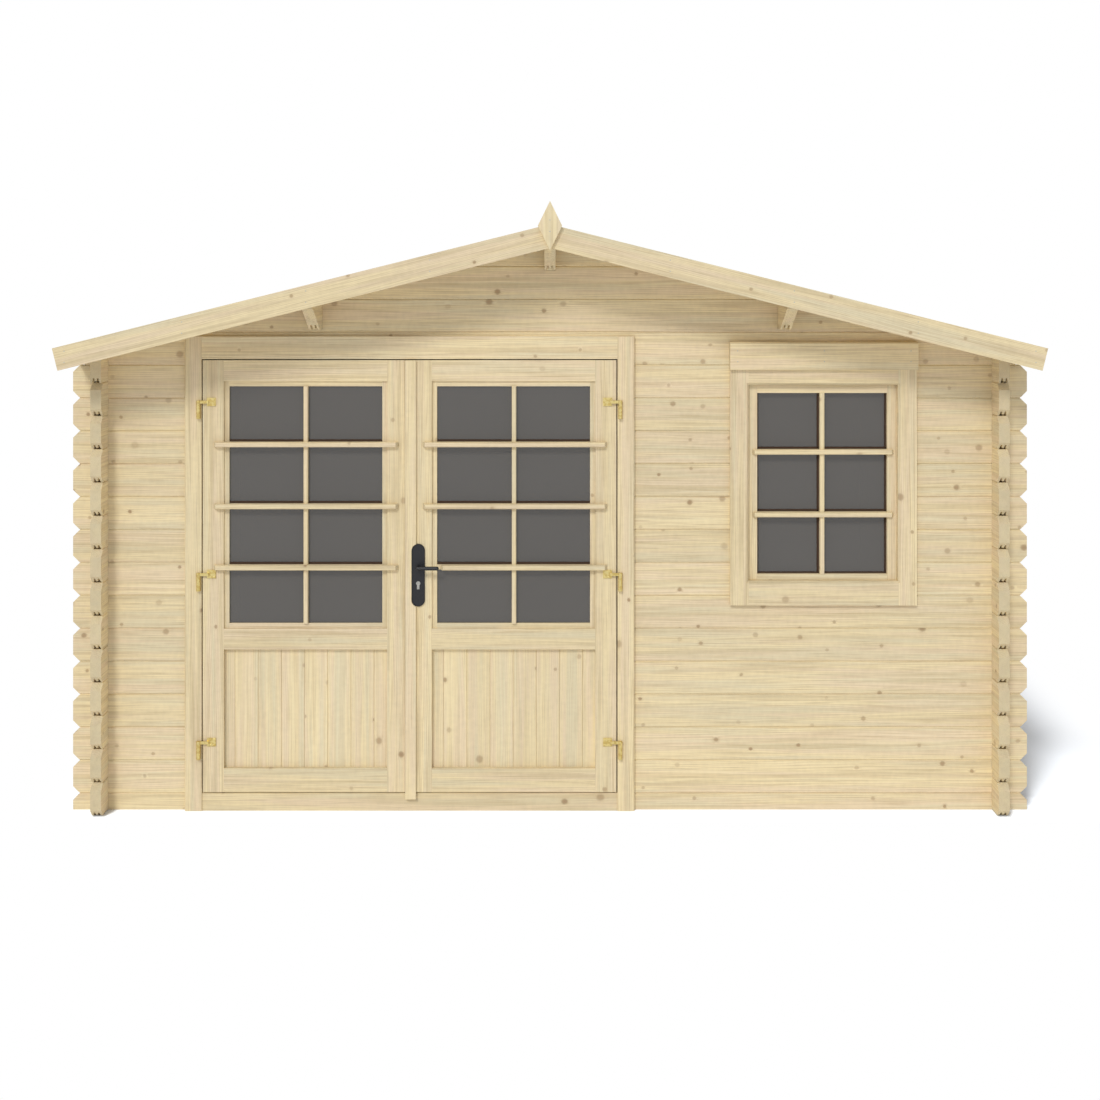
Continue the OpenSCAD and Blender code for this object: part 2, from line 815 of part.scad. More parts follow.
module left_door_panel() {
    color(spruce_dark) leaf_panel(left_inner_x0, left_inner_x1);
}

module left_door_glass() {
    color("#6b6966", 0.5) leaf_pane(left_inner_x0, left_inner_x1);
}

// Hole of the lock through plates and stile: spindle above, key cylinder below
module lock_hole(play) {
    translate([lock_x, leaf_back_y + 50, lever_z]) rotate([90, 0, 0])
        cylinder(r = spindle_radius + play, h = leaf_thickness + 100);
    cylinder_shape(leaf_thickness + 100, play);
}

module cylinder_shape(length, play) {
    y = face_y + leaf_thickness / 2;
    translate([lock_x, y, lever_z - cylinder_drop]) rotate([90, 0, 0])
        linear_extrude(length, center = true) {
            circle(r = 8.5 + play);
            translate([-5 - play, -24 - play]) square([10 + 2 * play, 24 + play]);
        }
}

module right_door_stiles() {
    color(spruce) difference() {
        union() {
            leaf_stile(meeting_x, right_inner_x0);
            leaf_stile(door_x1 - leaf_gap, right_inner_x1);
        }
        leaf_panel(right_inner_x0, right_inner_x1, fit);
        leaf_pane(right_inner_x0, right_inner_x1, fit);
        meeting_relief(meeting_x, 1);
        lock_hole(1);
    }
}

module right_door_rails() {
    color(spruce) leaf_rails(right_inner_x0, right_inner_x1);
}

module right_door_panel() {
    color(spruce_dark) leaf_panel(right_inner_x0, right_inner_x1);
}

module right_door_glass() {
    color("#6b6966", 0.5) leaf_pane(right_inner_x0, right_inner_x1);
}

// Cover strip of the leaf that opens first, cut back round the lock plate
module astragal() {
    play = 1;
    z0 = leaf_z0 - astragal_drop;
    color(spruce) difference() {
        translate([meeting_x, face_y - astragal_thickness, z0])
            cube([astragal_width, astragal_thickness, leaf_z1 - z0]);
        translate([0, face_y - lock_plate_thickness - 10, 0])
            lock_plate_shape(lock_plate_thickness + 20, play);
    }
}

// ---------------------------------------------------------------- hardware

// Long plate with round ends, standing in front of the plane y = 0
module lock_plate_shape(thickness, grow) {
    w = lock_plate_width / 2 + grow;
    run = lock_plate_height / 2 - lock_plate_width / 2;
    translate([lock_x, thickness, lever_z - 34.5]) rotate([90, 0, 0]) linear_extrude(thickness) {
        for (end = [-1, 1]) translate([0, end * run]) circle(r = w);
        translate([-w, -run]) square([2 * w, 2 * run]);
    }
}

module lock_plate() {
    rim = 3;
    lock_plate_shape(lock_plate_thickness - rim, 0);
    translate([0, lock_plate_thickness - rim - eps, 0]) lock_plate_shape(rim + eps, -rim);
}

module lock_plates() {
    color("#26262a") difference() {
        union() {
            translate([0, leaf_back_y, 0]) lock_plate();
            translate([0, face_y, 0]) mirror([0, 1, 0]) lock_plate();
        }
        lock_hole(fit);
    }
}

module lock_cylinder() {
    color("#a8a8a4") cylinder_shape(leaf_thickness + 2 * lock_plate_thickness + 4, 0);
}

// Grip and neck of one side of the lever, growing away from the door along +Y
module lever_side() {
    neck_length = 34;
    r = lever_thickness / 2;
    translate([0, neck_length, 0]) rotate([90, 0, 0]) cylinder(r = r, h = neck_length);
    translate([0, neck_length, 0]) {
        rotate([0, 90, 0]) cylinder(r = r, h = lever_length - r);
        sphere(r = r);
        translate([lever_length - r, 0, 0]) sphere(r = r);
    }
}

module lever_handle() {
    reach = lock_plate_thickness + 1;
    color("#26262a") translate([lock_x, 0, lever_z]) {
        translate([0, leaf_back_y + reach, 0]) lever_side();
        translate([0, face_y - reach, 0]) mirror([0, 1, 0]) lever_side();
        translate([0, leaf_back_y + reach + eps, 0]) rotate([90, 0, 0])
            cylinder(r = spindle_radius, h = leaf_thickness + 2 * reach + 2 * eps);
    }
}

// Leg on the jamb with its pin, on the hinge axis
module hinge_pin(x, z) {
    r = eye_radius - 0.5;
    leg_top = z - hinge_arm_height / 2 - fit;
    translate([x, hinge_y, leg_top - hinge_leg_height]) {
        cylinder(r = r, h = hinge_leg_height);
        translate([-r, 0, 0]) cube([2 * r, hinge_standoff, hinge_leg_height]);
        cylinder(r = pin_radius, h = hinge_leg_height + hinge_arm_height + 1);
    }
}

module hinge_pins() {
    color("#c9ab5a") for (z = hinge_heights) {
        hinge_pin(left_hinge_x, z);
        hinge_pin(right_hinge_x, z);
    }
}

// Strap from its eye on the pin to the plate on the leaf; dir points at the leaf
module hinge_strap(x, z, dir) {
    plate_x = 34;
    plate_width = 36;
    plate_height = 34;
    plate_thickness = 4;
    arm_depth = 6;
    difference() {
        translate([x, hinge_y, z]) {
            translate([0, 0, -hinge_arm_height / 2]) cylinder(r = eye_radius, h = hinge_arm_height);
            translate([dir > 0 ? 0 : -plate_x - 2, -arm_depth / 2, -hinge_arm_height / 2])
                cube([plate_x + 2, arm_depth, hinge_arm_height]);
            translate([dir > 0 ? plate_x : -plate_x - plate_width, hinge_standoff - plate_thickness,
                -plate_height / 2])
                cube([plate_width, plate_thickness, plate_height]);
            translate([dir > 0 ? plate_x : -plate_x - 8, -arm_depth / 2, -hinge_arm_height / 2])
                cube([8, hinge_standoff + arm_depth / 2 - eps, hinge_arm_height]);
        }
        translate([x, hinge_y, z - hinge_arm_height])
            cylinder(r = pin_radius + 0.2, h = 2 * hinge_arm_height);
    }
}

module left_door_straps() {
    color("#c9ab5a") for (z = hinge_heights) hinge_strap(left_hinge_x, z, 1);
}

module right_door_straps() {
    color("#c9ab5a") for (z = hinge_heights) hinge_strap(right_hinge_x, z, -1);
}

floor_joists();
floor_deck();
front_sill_log();
front_wall_left();
front_wall_middle();
front_wall_right();
front_wall_under_window();
door_lintel_log();
front_gable();
back_wall();
back_gable();
left_wall();
right_wall();
ridge_purlin();
side_purlins();
roof_deck_left();
roof_deck_right();
roofing_felt();
bargeboards_front();
bargeboards_back();
finial_front();
finial_back();
eaves_battens();
door_jambs();
door_head();
door_threshold();
hinge_pins();
window_frame();
window_lintel_board();
window_sash();
window_glass();
left_door_stiles();
left_door_rails();
left_door_panel();
left_door_glass();
left_door_straps();
right_door_stiles();
right_door_rails();
right_door_panel();
right_door_glass();
right_door_straps();
astragal();
lock_plates();
lock_cylinder();
lever_handle();
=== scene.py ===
# %% [markdown]
# # A log cabin in raw spruce
# The construction comes in as a fixed frame: every log, board and hinge already has its size
# and place. This script gives each surface its finish and adds the small joinery that the
# frame leaves out: glazing bars, V-jointed boards, laps of felt, nails and screws.

# %% Load the frame
import math

import bpy
import numpy as np
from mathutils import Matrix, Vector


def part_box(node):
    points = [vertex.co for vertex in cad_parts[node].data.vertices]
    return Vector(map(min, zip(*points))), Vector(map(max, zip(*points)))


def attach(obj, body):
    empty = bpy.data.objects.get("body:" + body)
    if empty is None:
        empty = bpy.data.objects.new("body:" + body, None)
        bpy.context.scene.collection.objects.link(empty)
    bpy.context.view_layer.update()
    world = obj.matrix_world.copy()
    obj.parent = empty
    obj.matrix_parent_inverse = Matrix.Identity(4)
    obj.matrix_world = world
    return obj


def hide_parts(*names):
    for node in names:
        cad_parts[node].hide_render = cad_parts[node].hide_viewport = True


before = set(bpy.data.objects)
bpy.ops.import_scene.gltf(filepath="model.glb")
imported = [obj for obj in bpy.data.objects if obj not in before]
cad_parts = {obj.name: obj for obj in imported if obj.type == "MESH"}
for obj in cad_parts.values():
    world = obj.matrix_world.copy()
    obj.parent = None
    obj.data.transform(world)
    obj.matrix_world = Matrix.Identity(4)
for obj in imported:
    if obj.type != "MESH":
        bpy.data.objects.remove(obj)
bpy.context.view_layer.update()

# %% [markdown]
# ## Measures that the finishes share
# A pattern only looks right at its true scale, so the grain is laid out in boards as wide as
# the real ones, and the same widths later cut the real boards. Both also need the roof's
# pitch and the line where the undersides of its two slopes meet, read off the frame.

# %% Shared measures
MM = 0.001
COURSE = 135 * MM
ROOF_BOARD, FLOOR_BOARD, DOOR_BOARD = 90.39 * MM, 87.4 * MM, 95 * MM
DOOR_JOINT = 56 * MM  # the joints lie this far left of whole boards from the middle
PITCH = math.radians(14)
DECK_THICKNESS = 18 * MM
ridge_under_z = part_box("roof_deck_right")[1].z - DECK_THICKNESS / math.cos(PITCH)
print("ridge of the boards' underside at", round(ridge_under_z, 4), "m")

# %% [markdown]
# ## The camera
# The camera stands in front of the cabin's middle, a little over two metres up, and looks
# level. Tilting it down would centre the cabin too, but then its uprights would lean, so the
# lens is shifted down instead.

# %% Camera
DISTANCE, EYE_HEIGHT, LENS_SHIFT, FAR_END = 6.263, 2.171, -0.2455, 200
WALL_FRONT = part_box("front_wall_left")
face_y = WALL_FRONT[0].y
camera = bpy.data.objects.new("camera", bpy.data.cameras.new("camera"))
camera.location = (0, face_y - DISTANCE, EYE_HEIGHT)
camera.rotation_euler = (math.radians(90), 0, 0)
camera.data.lens, camera.data.sensor_width = 50, 36
camera.data.shift_y = LENS_SHIFT
camera.data.clip_end = FAR_END
bpy.context.scene.collection.objects.link(camera)
bpy.context.scene.camera = camera
print("camera at", [round(v, 3) for v in camera.location])

# %% [markdown]
# ## Colours
# Colours are written as sRGB hex, as a painter would pick them from a card. A renderer adds up
# light, which needs linear values, so one function turns the one into the other.


# %% Colours
def linear(hex_colour, alpha=1.0):
    """sRGB hex to linear: the low end divided by 12.92, the rest a power of 2.4."""
    parts = [int(hex_colour[i : i + 2], 16) / 255 for i in (1, 3, 5)]
    return [c / 12.92 if c <= 0.04045 else ((c + 0.055) / 1.055) ** 2.4 for c in parts] + [alpha]


print("middle grey in linear light:", round(linear("#808080")[0], 3))

# %% [markdown]
# ## Nodes
# A material is a network of nodes, and each node takes values or what other nodes give. They
# could be drawn by hand in the editor, but written down they can be read and repeated. One
# function adds a node, sets it up and links its inputs, so that a formula is a few lines.


# %% Nodes
def add(tree, kind, inputs=(), **settings):
    """Adds a node. Inputs come in their order, or in a dict by name or number.

    Each is a value, a socket, or a node, whose first output is then meant.
    """
    node = tree.nodes.new("ShaderNode" + kind)
    for key, value in settings.items():
        setattr(node, key, value)
    for key, value in inputs.items() if isinstance(inputs, dict) else enumerate(inputs):
        if isinstance(value, bpy.types.Node):
            value = value.outputs[0]
        if isinstance(value, bpy.types.NodeSocket):
            tree.links.new(value, node.inputs[key])
        else:
            node.inputs[key].default_value = value
    return node


def new_material(name):
    """An empty material with its Principled shader already wired to the output."""
    material = bpy.data.materials.new(name)
    material.use_nodes = True
    tree = material.node_tree
    tree.nodes.clear()
    shader = add(tree, "BsdfPrincipled")
    add(tree, "OutputMaterial", {"Surface": shader})
    return material, tree, shader


kinds = [name for name in dir(bpy.types) if name.startswith("ShaderNode")]
print(len(kinds), "kinds of shader node to choose from")

# %% [markdown]
# ## Spruce, planed and left raw
# Every wooden piece is Norway spruce from the planer: a very pale straw colour with fine
# fibres and longer streaks along the board, soft growth rings, small brown knots, and a drift
# of tone that runs from cream to pink to a green-grey. Nothing is on it, so it reflects
# weakly: roughness about 0.6.
#
# The wood is a solid texture, not a picture laid on a face, so it runs on round every edge
# and into every notch. Noise that is far longer than wide makes fibres and streaks, and the
# same noise, nearly round, makes a faint mottle.

# %% Colours and scales of spruce
CREAM, PINK, OLIVE, LATE_WOOD = "#EFDDB1", "#EAD6B3", "#E3D6B2", "#CDB389"
STREAK, FIBRE, END_GRAIN = "#D0BD95", "#C3AC84", "#CDBD98"
KNOT_HALO, KNOT_CORE, KNOT_RIM = "#C9AC80", "#A18260", "#7A6248"
RING_WIDTH = 6.5 * MM  # real rings are 2 to 3 mm; drawn wider, so that they still show
FIBRE_WIDTH = 4.5 * MM  # likewise, for fibres that are far thinner
# Each noise: cycles a metre along the fibres, cycles a metre across them, and its detail.
# Across, a streak is 22 mm wide, the drift of tone 42 mm and the mottle 29 mm.
FIBRES, STREAKS, DRIFT = (5.0, 1 / FIBRE_WIDTH, 3.0), (1.3, 46.0, 4.0), (1.1, 24.0, 2.0)
MOTTLE, WANDER, KNOT_EDGE = (52.0, 34.0, 3.0), (0.9, 7.0, 3.0), (90.0, 90.0, 2.0)
# Moves that bring each board, row of knots and roof slope to its own part of the pattern
BOARD_MOVE, KNOT_MOVE, SLOPE_MOVE, SIDE_SEED = 37.0, 9.0, 7.0, 5.3


def stretched_noise(tree, where, along, across, detail):
    """Noise at (place along * scale along, the two places across * scale across)."""
    scaled = [add(tree, "Math", (place, scale), operation="MULTIPLY")
              for place, scale in zip(where, (along, across, across))]
    at = add(tree, "CombineXYZ", scaled)
    return add(tree, "TexNoise", {"Vector": at, "Scale": 1.0, "Detail": detail}).outputs


print("a streak is", round(STREAKS[1] / STREAKS[0]), "times as long as it is wide")

# %% [markdown]
# ## Which way the fibres run
# Grain runs along a board, so each material first turns the object's coordinates into along,
# across and into the board. Turning the pattern once for each piece by hand would do as well,
# but a letter for the axis is easier to check.


# %% Axes of a board
def board_axes(tree, grain):
    """The object's coordinates as (along the fibres, across the face, into the board).

    On a roof slope, along = |x| cos(pitch) - z sin(pitch) and up = |x| sin(pitch) +
    z cos(pitch); along also moves away to the right on the right, and to the left there.
    """
    where = add(tree, "TexCoord").outputs["Object"]
    x, y, z = add(tree, "SeparateXYZ", {"Vector": where}).outputs
    if not grain.startswith("slope"):
        return {"X": (x, z, y), "Y": (y, z, x), "Z": (z, x, y), "X flat": (x, y, z)}[grain]
    side = add(tree, "Math", (x,), operation="ABSOLUTE")
    run = add(tree, "Math", (side, math.cos(PITCH)), operation="MULTIPLY")
    along = add(tree, "Math", (z, -math.sin(PITCH), run), operation="MULTIPLY_ADD")
    rise = add(tree, "Math", (side, math.sin(PITCH)), operation="MULTIPLY")
    up = add(tree, "Math", (z, math.cos(PITCH), rise), operation="MULTIPLY_ADD")
    half = add(tree, "Math", (x,), operation="SIGN")
    along = add(tree, "Math", (half, SLOPE_MOVE, along), operation="MULTIPLY_ADD")
    return {"slope flat": (along, y, up), "slope edge": (along, up, y)}[grain]


print("a slope drops", round(math.tan(PITCH), 3), "m for each metre out")

# %% [markdown]
# ## Upright and level parts in one solid
# A window frame comes as one piece, though a joiner makes it of two stiles and two rails. So
# further than a set reach from its middle the fibres turn upright, and each side gets wood of
# its own.


# %% Axes that turn upright
def turned_axes(tree, axes, seed, centre, reach):
    """The axes, but upright ones where |x - centre| > reach, and a seed for each side."""
    upright = board_axes(tree, "Z")
    from_middle = add(tree, "Math", (upright[1], centre), operation="SUBTRACT")
    away = add(tree, "Math", (from_middle,), operation="ABSOLUTE")
    beyond = add(tree, "Math", (away, reach), operation="GREATER_THAN")
    axes = [add(tree, "Mix", {0: beyond, 2: a, 3: b}) for a, b in zip(axes, upright)]
    half = add(tree, "Math", (from_middle,), operation="SIGN")
    which = add(tree, "Math", (beyond, half), operation="MULTIPLY")
    return axes, add(tree, "Math", (which, SIDE_SEED, seed), operation="MULTIPLY_ADD")


print("each side of a frame is", SIDE_SEED, "seeds away")

# %% [markdown]
# ## One board after another
# A log wall is one board above the next, each from another tree. Counting boards across gives
# every board a number, and a random colour from that number moves its pith and its knots and
# shades it, so that no two look alike, and yet one material does for a whole wall.


# %% Number of a board and places in it
def place_in_board(tree, grain, board, offset, depth, seed, upright):
    """Board number = floor((across + offset) / board), and three random numbers from it.

    The places are (along + random * BOARD_MOVE, across from the board's middle, into - depth).
    """
    along, across, into = board_axes(tree, grain)
    if upright:
        (along, across, into), seed = turned_axes(tree, (along, across, into), seed, *upright)
    moved = add(tree, "Math", (across, offset), operation="ADD")
    moved = add(tree, "Math", (moved, board), operation="DIVIDE")
    number = add(tree, "Math", (moved,), operation="FLOOR")
    seeded = add(tree, "Math", (number, seed), operation="ADD")
    dice = add(tree, "TexWhiteNoise", {"W": seeded}, noise_dimensions="1D").outputs["Color"]
    chance = add(tree, "SeparateColor", {0: dice}).outputs
    within = add(tree, "Math", (moved, number), operation="SUBTRACT")
    within = add(tree, "Math", (within, 0.5), operation="SUBTRACT")
    local = add(tree, "Math", (within, board), operation="MULTIPLY")
    inward = add(tree, "Math", (into, depth), operation="SUBTRACT")
    shifted = add(tree, "Math", (chance[0], BOARD_MOVE, along), operation="MULTIPLY_ADD")
    return (shifted, local, inward), chance


print("one number for each", COURSE, "m of wall, one course of logs")

# %% [markdown]
# ## Knots
# A knot is a branch cut across: a small brown oval with a darker rim, and the fibres part
# round it. Cells of a Voronoi pattern place them, at most one to a cell, which keeps them
# apart as on a real board; plain noise would run them together. Small ones are common, large
# ones rare, and some are faint.

# %% Knots
KNOT_CELL, KNOT_ROUNDNESS = 0.155, 0.9  # metres; a knot is 1 / 0.9 as long as it is wide
KNOT_CHANCE, KNOT_LEAST, KNOT_MORE, KNOT_RAGGED = 0.74, 6.0 * MM, 7.5 * MM, 5 * MM
REACHES = {"core": (1.5, 0.2), "rim": (0.3, 0.9), "halo": (2.8, 0.6)}  # in knot radii


def knots_at(tree, where, chance, knots):
    """Reach = distance from the cell's point, with a ragged edge, over the knot's radius.

    Core, rim and halo each fade between two reaches; radius = least + more * random cubed.
    """
    along = add(tree, "Math", (where[0], KNOT_ROUNDNESS), operation="MULTIPLY")
    across = add(tree, "Math", (chance[1], KNOT_MOVE, where[1]), operation="MULTIPLY_ADD")
    cell = add(tree, "TexVoronoi", {
        "Vector": add(tree, "CombineXYZ", (along, across)), "Scale": 1 / KNOT_CELL,
        "Randomness": 0.9}, voronoi_dimensions="2D").outputs
    dice = add(tree, "SeparateColor", {0: cell["Color"]}).outputs
    ragged = stretched_noise(tree, where, *KNOT_EDGE)[0]
    away = add(tree, "Math", (ragged, KNOT_RAGGED, -KNOT_RAGGED / 2), operation="MULTIPLY_ADD")
    away = add(tree, "Math", (cell["Distance"], KNOT_CELL, away), operation="MULTIPLY_ADD")
    rare = add(tree, "Math", (dice[1], 3.0), operation="POWER")
    size = add(tree, "Math", (rare, KNOT_MORE, KNOT_LEAST), operation="MULTIPLY_ADD")
    exists = add(tree, "Math", (dice[0], KNOT_CHANCE * knots), operation="LESS_THAN")
    strong = add(tree, "Math", (dice[2], 0.75, 0.25), operation="MULTIPLY_ADD")
    strong = add(tree, "Math", (strong, exists), operation="MULTIPLY")
    reach = add(tree, "Math", (away, size), operation="DIVIDE")
    core, rim, halo = [add(tree, "MapRange", (reach, *REACHES[part]),
                           interpolation_type="SMOOTHSTEP") for part in ("core", "rim", "halo")]
    core = add(tree, "Math", (core, strong), operation="MULTIPLY")
    rim = add(tree, "Math", (rim, core), operation="MULTIPLY")
    return core, rim, add(tree, "Math", (halo, strong), operation="MULTIPLY")


print("a chance of one knot in each", KNOT_CELL, "m")

# %% [markdown]
# ## Growth rings
# A tree's rings are cylinders round its pith, so the ring number is the distance from a line
# along the board, divided by the ring width. Cutting that solid with a board's faces gives
# straight lines on one side, arches on another and arcs on the end grain, all from one
# formula. Late wood is the darker end of each ring. The pith wanders a little along the
# board, and the rings give way round a knot.

# %% Rings
PITH_SWAY, PITH_ACROSS, PITH_DEPTH, PITH_NEAREST = 0.06, 0.12, 0.05, 0.01
PARTING = 5 * MM  # how far the rings give way round a knot


def late_wood_at(tree, where, chance, halo):
    """1 in late wood: fraction(distance from the pith / ring width), rising from 0.3 to 0.85."""
    wander = stretched_noise(tree, where, *WANDER)[0]
    sway = add(tree, "Math", (wander, PITH_SWAY, -PITH_SWAY / 2), operation="MULTIPLY_ADD")
    pith = add(tree, "Math", (chance[1], PITH_ACROSS, -PITH_ACROSS / 2), operation="MULTIPLY_ADD")
    a = add(tree, "Math", (where[1], pith), operation="SUBTRACT")
    a = add(tree, "Math", (a, sway), operation="ADD")
    deep = add(tree, "Math", (chance[2], PITH_DEPTH, PITH_NEAREST), operation="MULTIPLY_ADD")
    b = add(tree, "Math", (where[2], deep), operation="ADD")
    square = add(tree, "Math", (b, b), operation="MULTIPLY")
    square = add(tree, "Math", (a, a, square), operation="MULTIPLY_ADD")
    distance = add(tree, "Math", (square,), operation="SQRT")
    distance = add(tree, "Math", (halo, PARTING, distance), operation="MULTIPLY_ADD")
    ring = add(tree, "Math", (distance, RING_WIDTH), operation="DIVIDE")
    ring = add(tree, "Math", (ring,), operation="FRACT")
    rise, fall = [add(tree, "MapRange", (ring, *ends), interpolation_type="SMOOTHSTEP")
                  for ends in ((0.3, 0.85), (1.0, 0.9))]
    return add(tree, "Math", (rise, fall), operation="MULTIPLY")


print("rings", RING_WIDTH / MM, "mm wide")

# %% [markdown]
# ## What shows where
# Every pattern runs from 0 to 1 and says where something shows: a knot, late wood, a streak,
# a drift of tone, the saw cut at a board's end. They are kept apart from the colours, so that
# gloss and relief can follow the very same places.


# %% Patterns of the wood
def end_grain_at(tree, grain):
    """1 on faces that the fibres run into, 0 on faces that they lie in."""
    facing = add(tree, "SeparateXYZ", {0: add(tree, "TexCoord").outputs["Normal"]}).outputs
    facing = add(tree, "Math", (facing["XYZ".index(grain[0])],), operation="ABSOLUTE")
    return add(tree, "MapRange", (facing, 0.55, 0.8), interpolation_type="SMOOTHSTEP")


def patterns(tree, where, chance, knots):
    """Every pattern by name: one of the formulas above, or one noise."""
    core, rim, halo = knots_at(tree, where, chance, knots)
    shows = {"knot": core, "rim": rim, "halo": halo,
             "late wood": late_wood_at(tree, where, chance, halo)}
    for name, scales in (("fibre", FIBRES), ("streak", STREAKS), ("mottle", MOTTLE)):
        shows[name] = stretched_noise(tree, where, *scales)[0]
    drift = add(tree, "SeparateColor", {0: stretched_noise(tree, where, *DRIFT)[1]}).outputs
    return shows | {"pink": drift[0], "olive": drift[1]}


print("fibres", round(1000 / FIBRES[1], 1), "mm apart")

# %% [markdown]
# ## The colour of spruce
# The colours go on as a painter would glaze them: cream first, then pink and olive drift,
# late wood, streaks and fibres, and the knots last; end grain is dulled to nearly one tone.
# A colour ramp would need one value to follow, but here each layer has a pattern of its own,
# so a table lists them and one loop lays them on.

# %% Layers of colour
LAYERS = (  # the pattern, the values between which it rises, how thick it is, its colour
    ("pink", (0.42, 0.62), 1.0, PINK),
    ("olive", (0.46, 0.68), 1.0, OLIVE),
    ("late wood", None, 0.36, LATE_WOOD),
    ("streak", (0.48, 0.7), 0.68, STREAK),
    ("fibre", (0.46, 0.72), 0.52, FIBRE),
    ("halo", None, 0.22, KNOT_HALO),
    ("knot", None, 0.85, KNOT_CORE),
    ("rim", None, 0.5, KNOT_RIM),
    ("end grain", None, 0.7, END_GRAIN),
)
STRIPES = ("late wood", "streak", "fibre")  # the layers that a wood's contrast thins


def wood_colour(tree, shows, contrast):
    """Colour = colour below * (1 - cover) + layer * cover; cover = pattern * thickness."""
    colour = linear(CREAM)
    for name, rise, cover, tint in LAYERS:
        if name in shows:
            source, thin = shows[name], contrast if name in STRIPES else 1
            if rise:
                source = add(tree, "MapRange", (source, *rise), interpolation_type="SMOOTHSTEP")
            cover = add(tree, "Math", (source, cover * thin), operation="MULTIPLY")
            layer = add(tree, "Mix", {0: cover, 6: colour, 7: linear(tint)}, data_type="RGBA")
            colour = layer.outputs[2]
    return colour


print(len(LAYERS), "layers over cream")

# %% [markdown]
# ## The surface of spruce
# The planer leaves a silky surface, and early wood wears off more under it than late wood. So
# a faint bump follows fibres and rings, and late wood is a little smoother. The bump is far
# too fine for geometry: a fraction of a millimetre on a wall of metres.

# %% Gloss and relief
ROUGHNESS, LATE_SMOOTHER, FIBRE_ROUGHER, RELIEF = 0.62, -0.10, 0.1, 0.3 * MM


def wood_surface(tree, shader, shows):
    """Roughness = 0.62 - 0.1 late + 0.1 fibre; height = 0.7 fibre + 0.5 late - 0.8 knot."""
    late, fibre = shows["late wood"], shows["fibre"]
    rough = add(tree, "Math", (late, LATE_SMOOTHER, ROUGHNESS), operation="MULTIPLY_ADD")
    rough = add(tree, "Math", (fibre, FIBRE_ROUGHER, rough), operation="MULTIPLY_ADD")
    relief = add(tree, "Math", (fibre, 0.7), operation="MULTIPLY")
    relief = add(tree, "Math", (late, 0.5, relief), operation="MULTIPLY_ADD")
    relief = add(tree, "Math", (shows["knot"], -0.8, relief), operation="MULTIPLY_ADD")
    bump = add(tree, "Bump", {"Height": relief, "Distance": RELIEF, "Strength": 0.7})
    tree.links.new(rough.outputs[0], shader.inputs["Roughness"])
    tree.links.new(bump.outputs[0], shader.inputs["Normal"])
    shader.inputs["IOR"].default_value = 1.5
    shader.inputs["Specular IOR Level"].default_value = 0.3


print("bump", round(RELIEF / MM, 2), "mm deep")

# %% [markdown]
# ## The whole wood
# One function now makes a wood from what differs between pieces: which way the fibres run,
# how wide the boards are and where they start, and how knotty and how striped they look. Each
# board is a little lighter or darker than its neighbours.

# %% Spruce
BOARD_SHADE, SHADE_RANGE, MOTTLE_RANGE = 0.89, 0.07, 0.15


def spruce(name, grain, board=1.0, offset=0.0, depth=0.0, seed=0.0, tone=1.0, upright=None,
           knots=1.0, contrast=1.0):
    """Spruce in boards of one width, counted from -offset; depth is the boards' mid-plane.

    upright is (middle, reach): further than that from the middle along X, the fibres run up.
    """
    material, tree, shader = new_material(name)
    where, chance = place_in_board(tree, grain, board, offset, depth, seed, upright)
    shows = patterns(tree, where, chance, knots)
    if grain[0] in "XYZ" and not upright:
        shows["end grain"] = end_grain_at(tree, grain)
    shade = add(tree, "Math", (chance[2], SHADE_RANGE * tone, BOARD_SHADE * tone),
                operation="MULTIPLY_ADD")
    shade = add(tree, "Math", (shows["mottle"], MOTTLE_RANGE * tone, shade),
                operation="MULTIPLY_ADD")
    level = add(tree, "CombineColor", (shade, shade, shade))
    shaded = add(tree, "Mix", {0: 1.0, 6: wood_colour(tree, shows, contrast), 7: level},
                 data_type="RGBA", blend_type="MULTIPLY")
    tree.links.new(shaded.outputs[2], shader.inputs["Base Color"])
    wood_surface(tree, shader, shows)
    return material


print("boards differ by up to", round(100 * SHADE_RANGE), "per cent in shade")

# %% [markdown]
# ## Materials on the frame's pieces
# The frame's meshes stay as they are, and only their material changes. A table from material
# to pieces is quick to check against the real thing, and no piece is left grey by mistake.


# %% Dress the frame's pieces
def dress_nodes(choice):
    """Gives every node in a {material: [names]} table its one material."""
    for material, names in choice.items():
        for name in names:
            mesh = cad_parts[name].data
            mesh.materials.clear()
            mesh.materials.append(material)
    print(sum(len(names) for names in choice.values()), "nodes dressed")


print(len(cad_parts), "nodes to dress, or to replace by finer pieces")

# %% [markdown]
# ## One spruce for each way a board is laid
# The front and back logs are half a course out of step with the side logs, so their boards
# are counted from different heights. The mid-plane of a wall is where its depth starts.


# %% Spruce for the walls and the roof
def middle(corners, axis):
    """Half way between a box's two corners along one axis."""
    return (corners[0][axis] + corners[1][axis]) / 2


front_mid, back_mid = middle(WALL_FRONT, 1), middle(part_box("back_gable"), 1)
left_mid, right_mid = middle(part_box("left_wall"), 0), middle(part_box("right_wall"), 0)
log_front = spruce("spruce_front_logs", "X", COURSE, COURSE / 2, front_mid, seed=1)
log_back = spruce("spruce_back_logs", "X", COURSE, COURSE / 2, back_mid, seed=21)
log_left = spruce("spruce_left_logs", "Y", COURSE, 0, left_mid, seed=43)
log_right = spruce("spruce_right_logs", "Y", COURSE, 0, right_mid, seed=64)
purlin_wood = spruce("spruce_purlins", "Y", 0.5, 0.1, seed=5)
roof_wood = spruce("spruce_roof_boards", "slope flat", ROOF_BOARD, 0,
                   ridge_under_z * math.cos(PITCH), seed=6)
edge_wood = spruce("spruce_bargeboards", "slope edge", 5.0, 2.5, -1.64, seed=7)
floor_wood = spruce("spruce_floor_boards", "X flat", FLOOR_BOARD, 0.0, 0.06, seed=13)
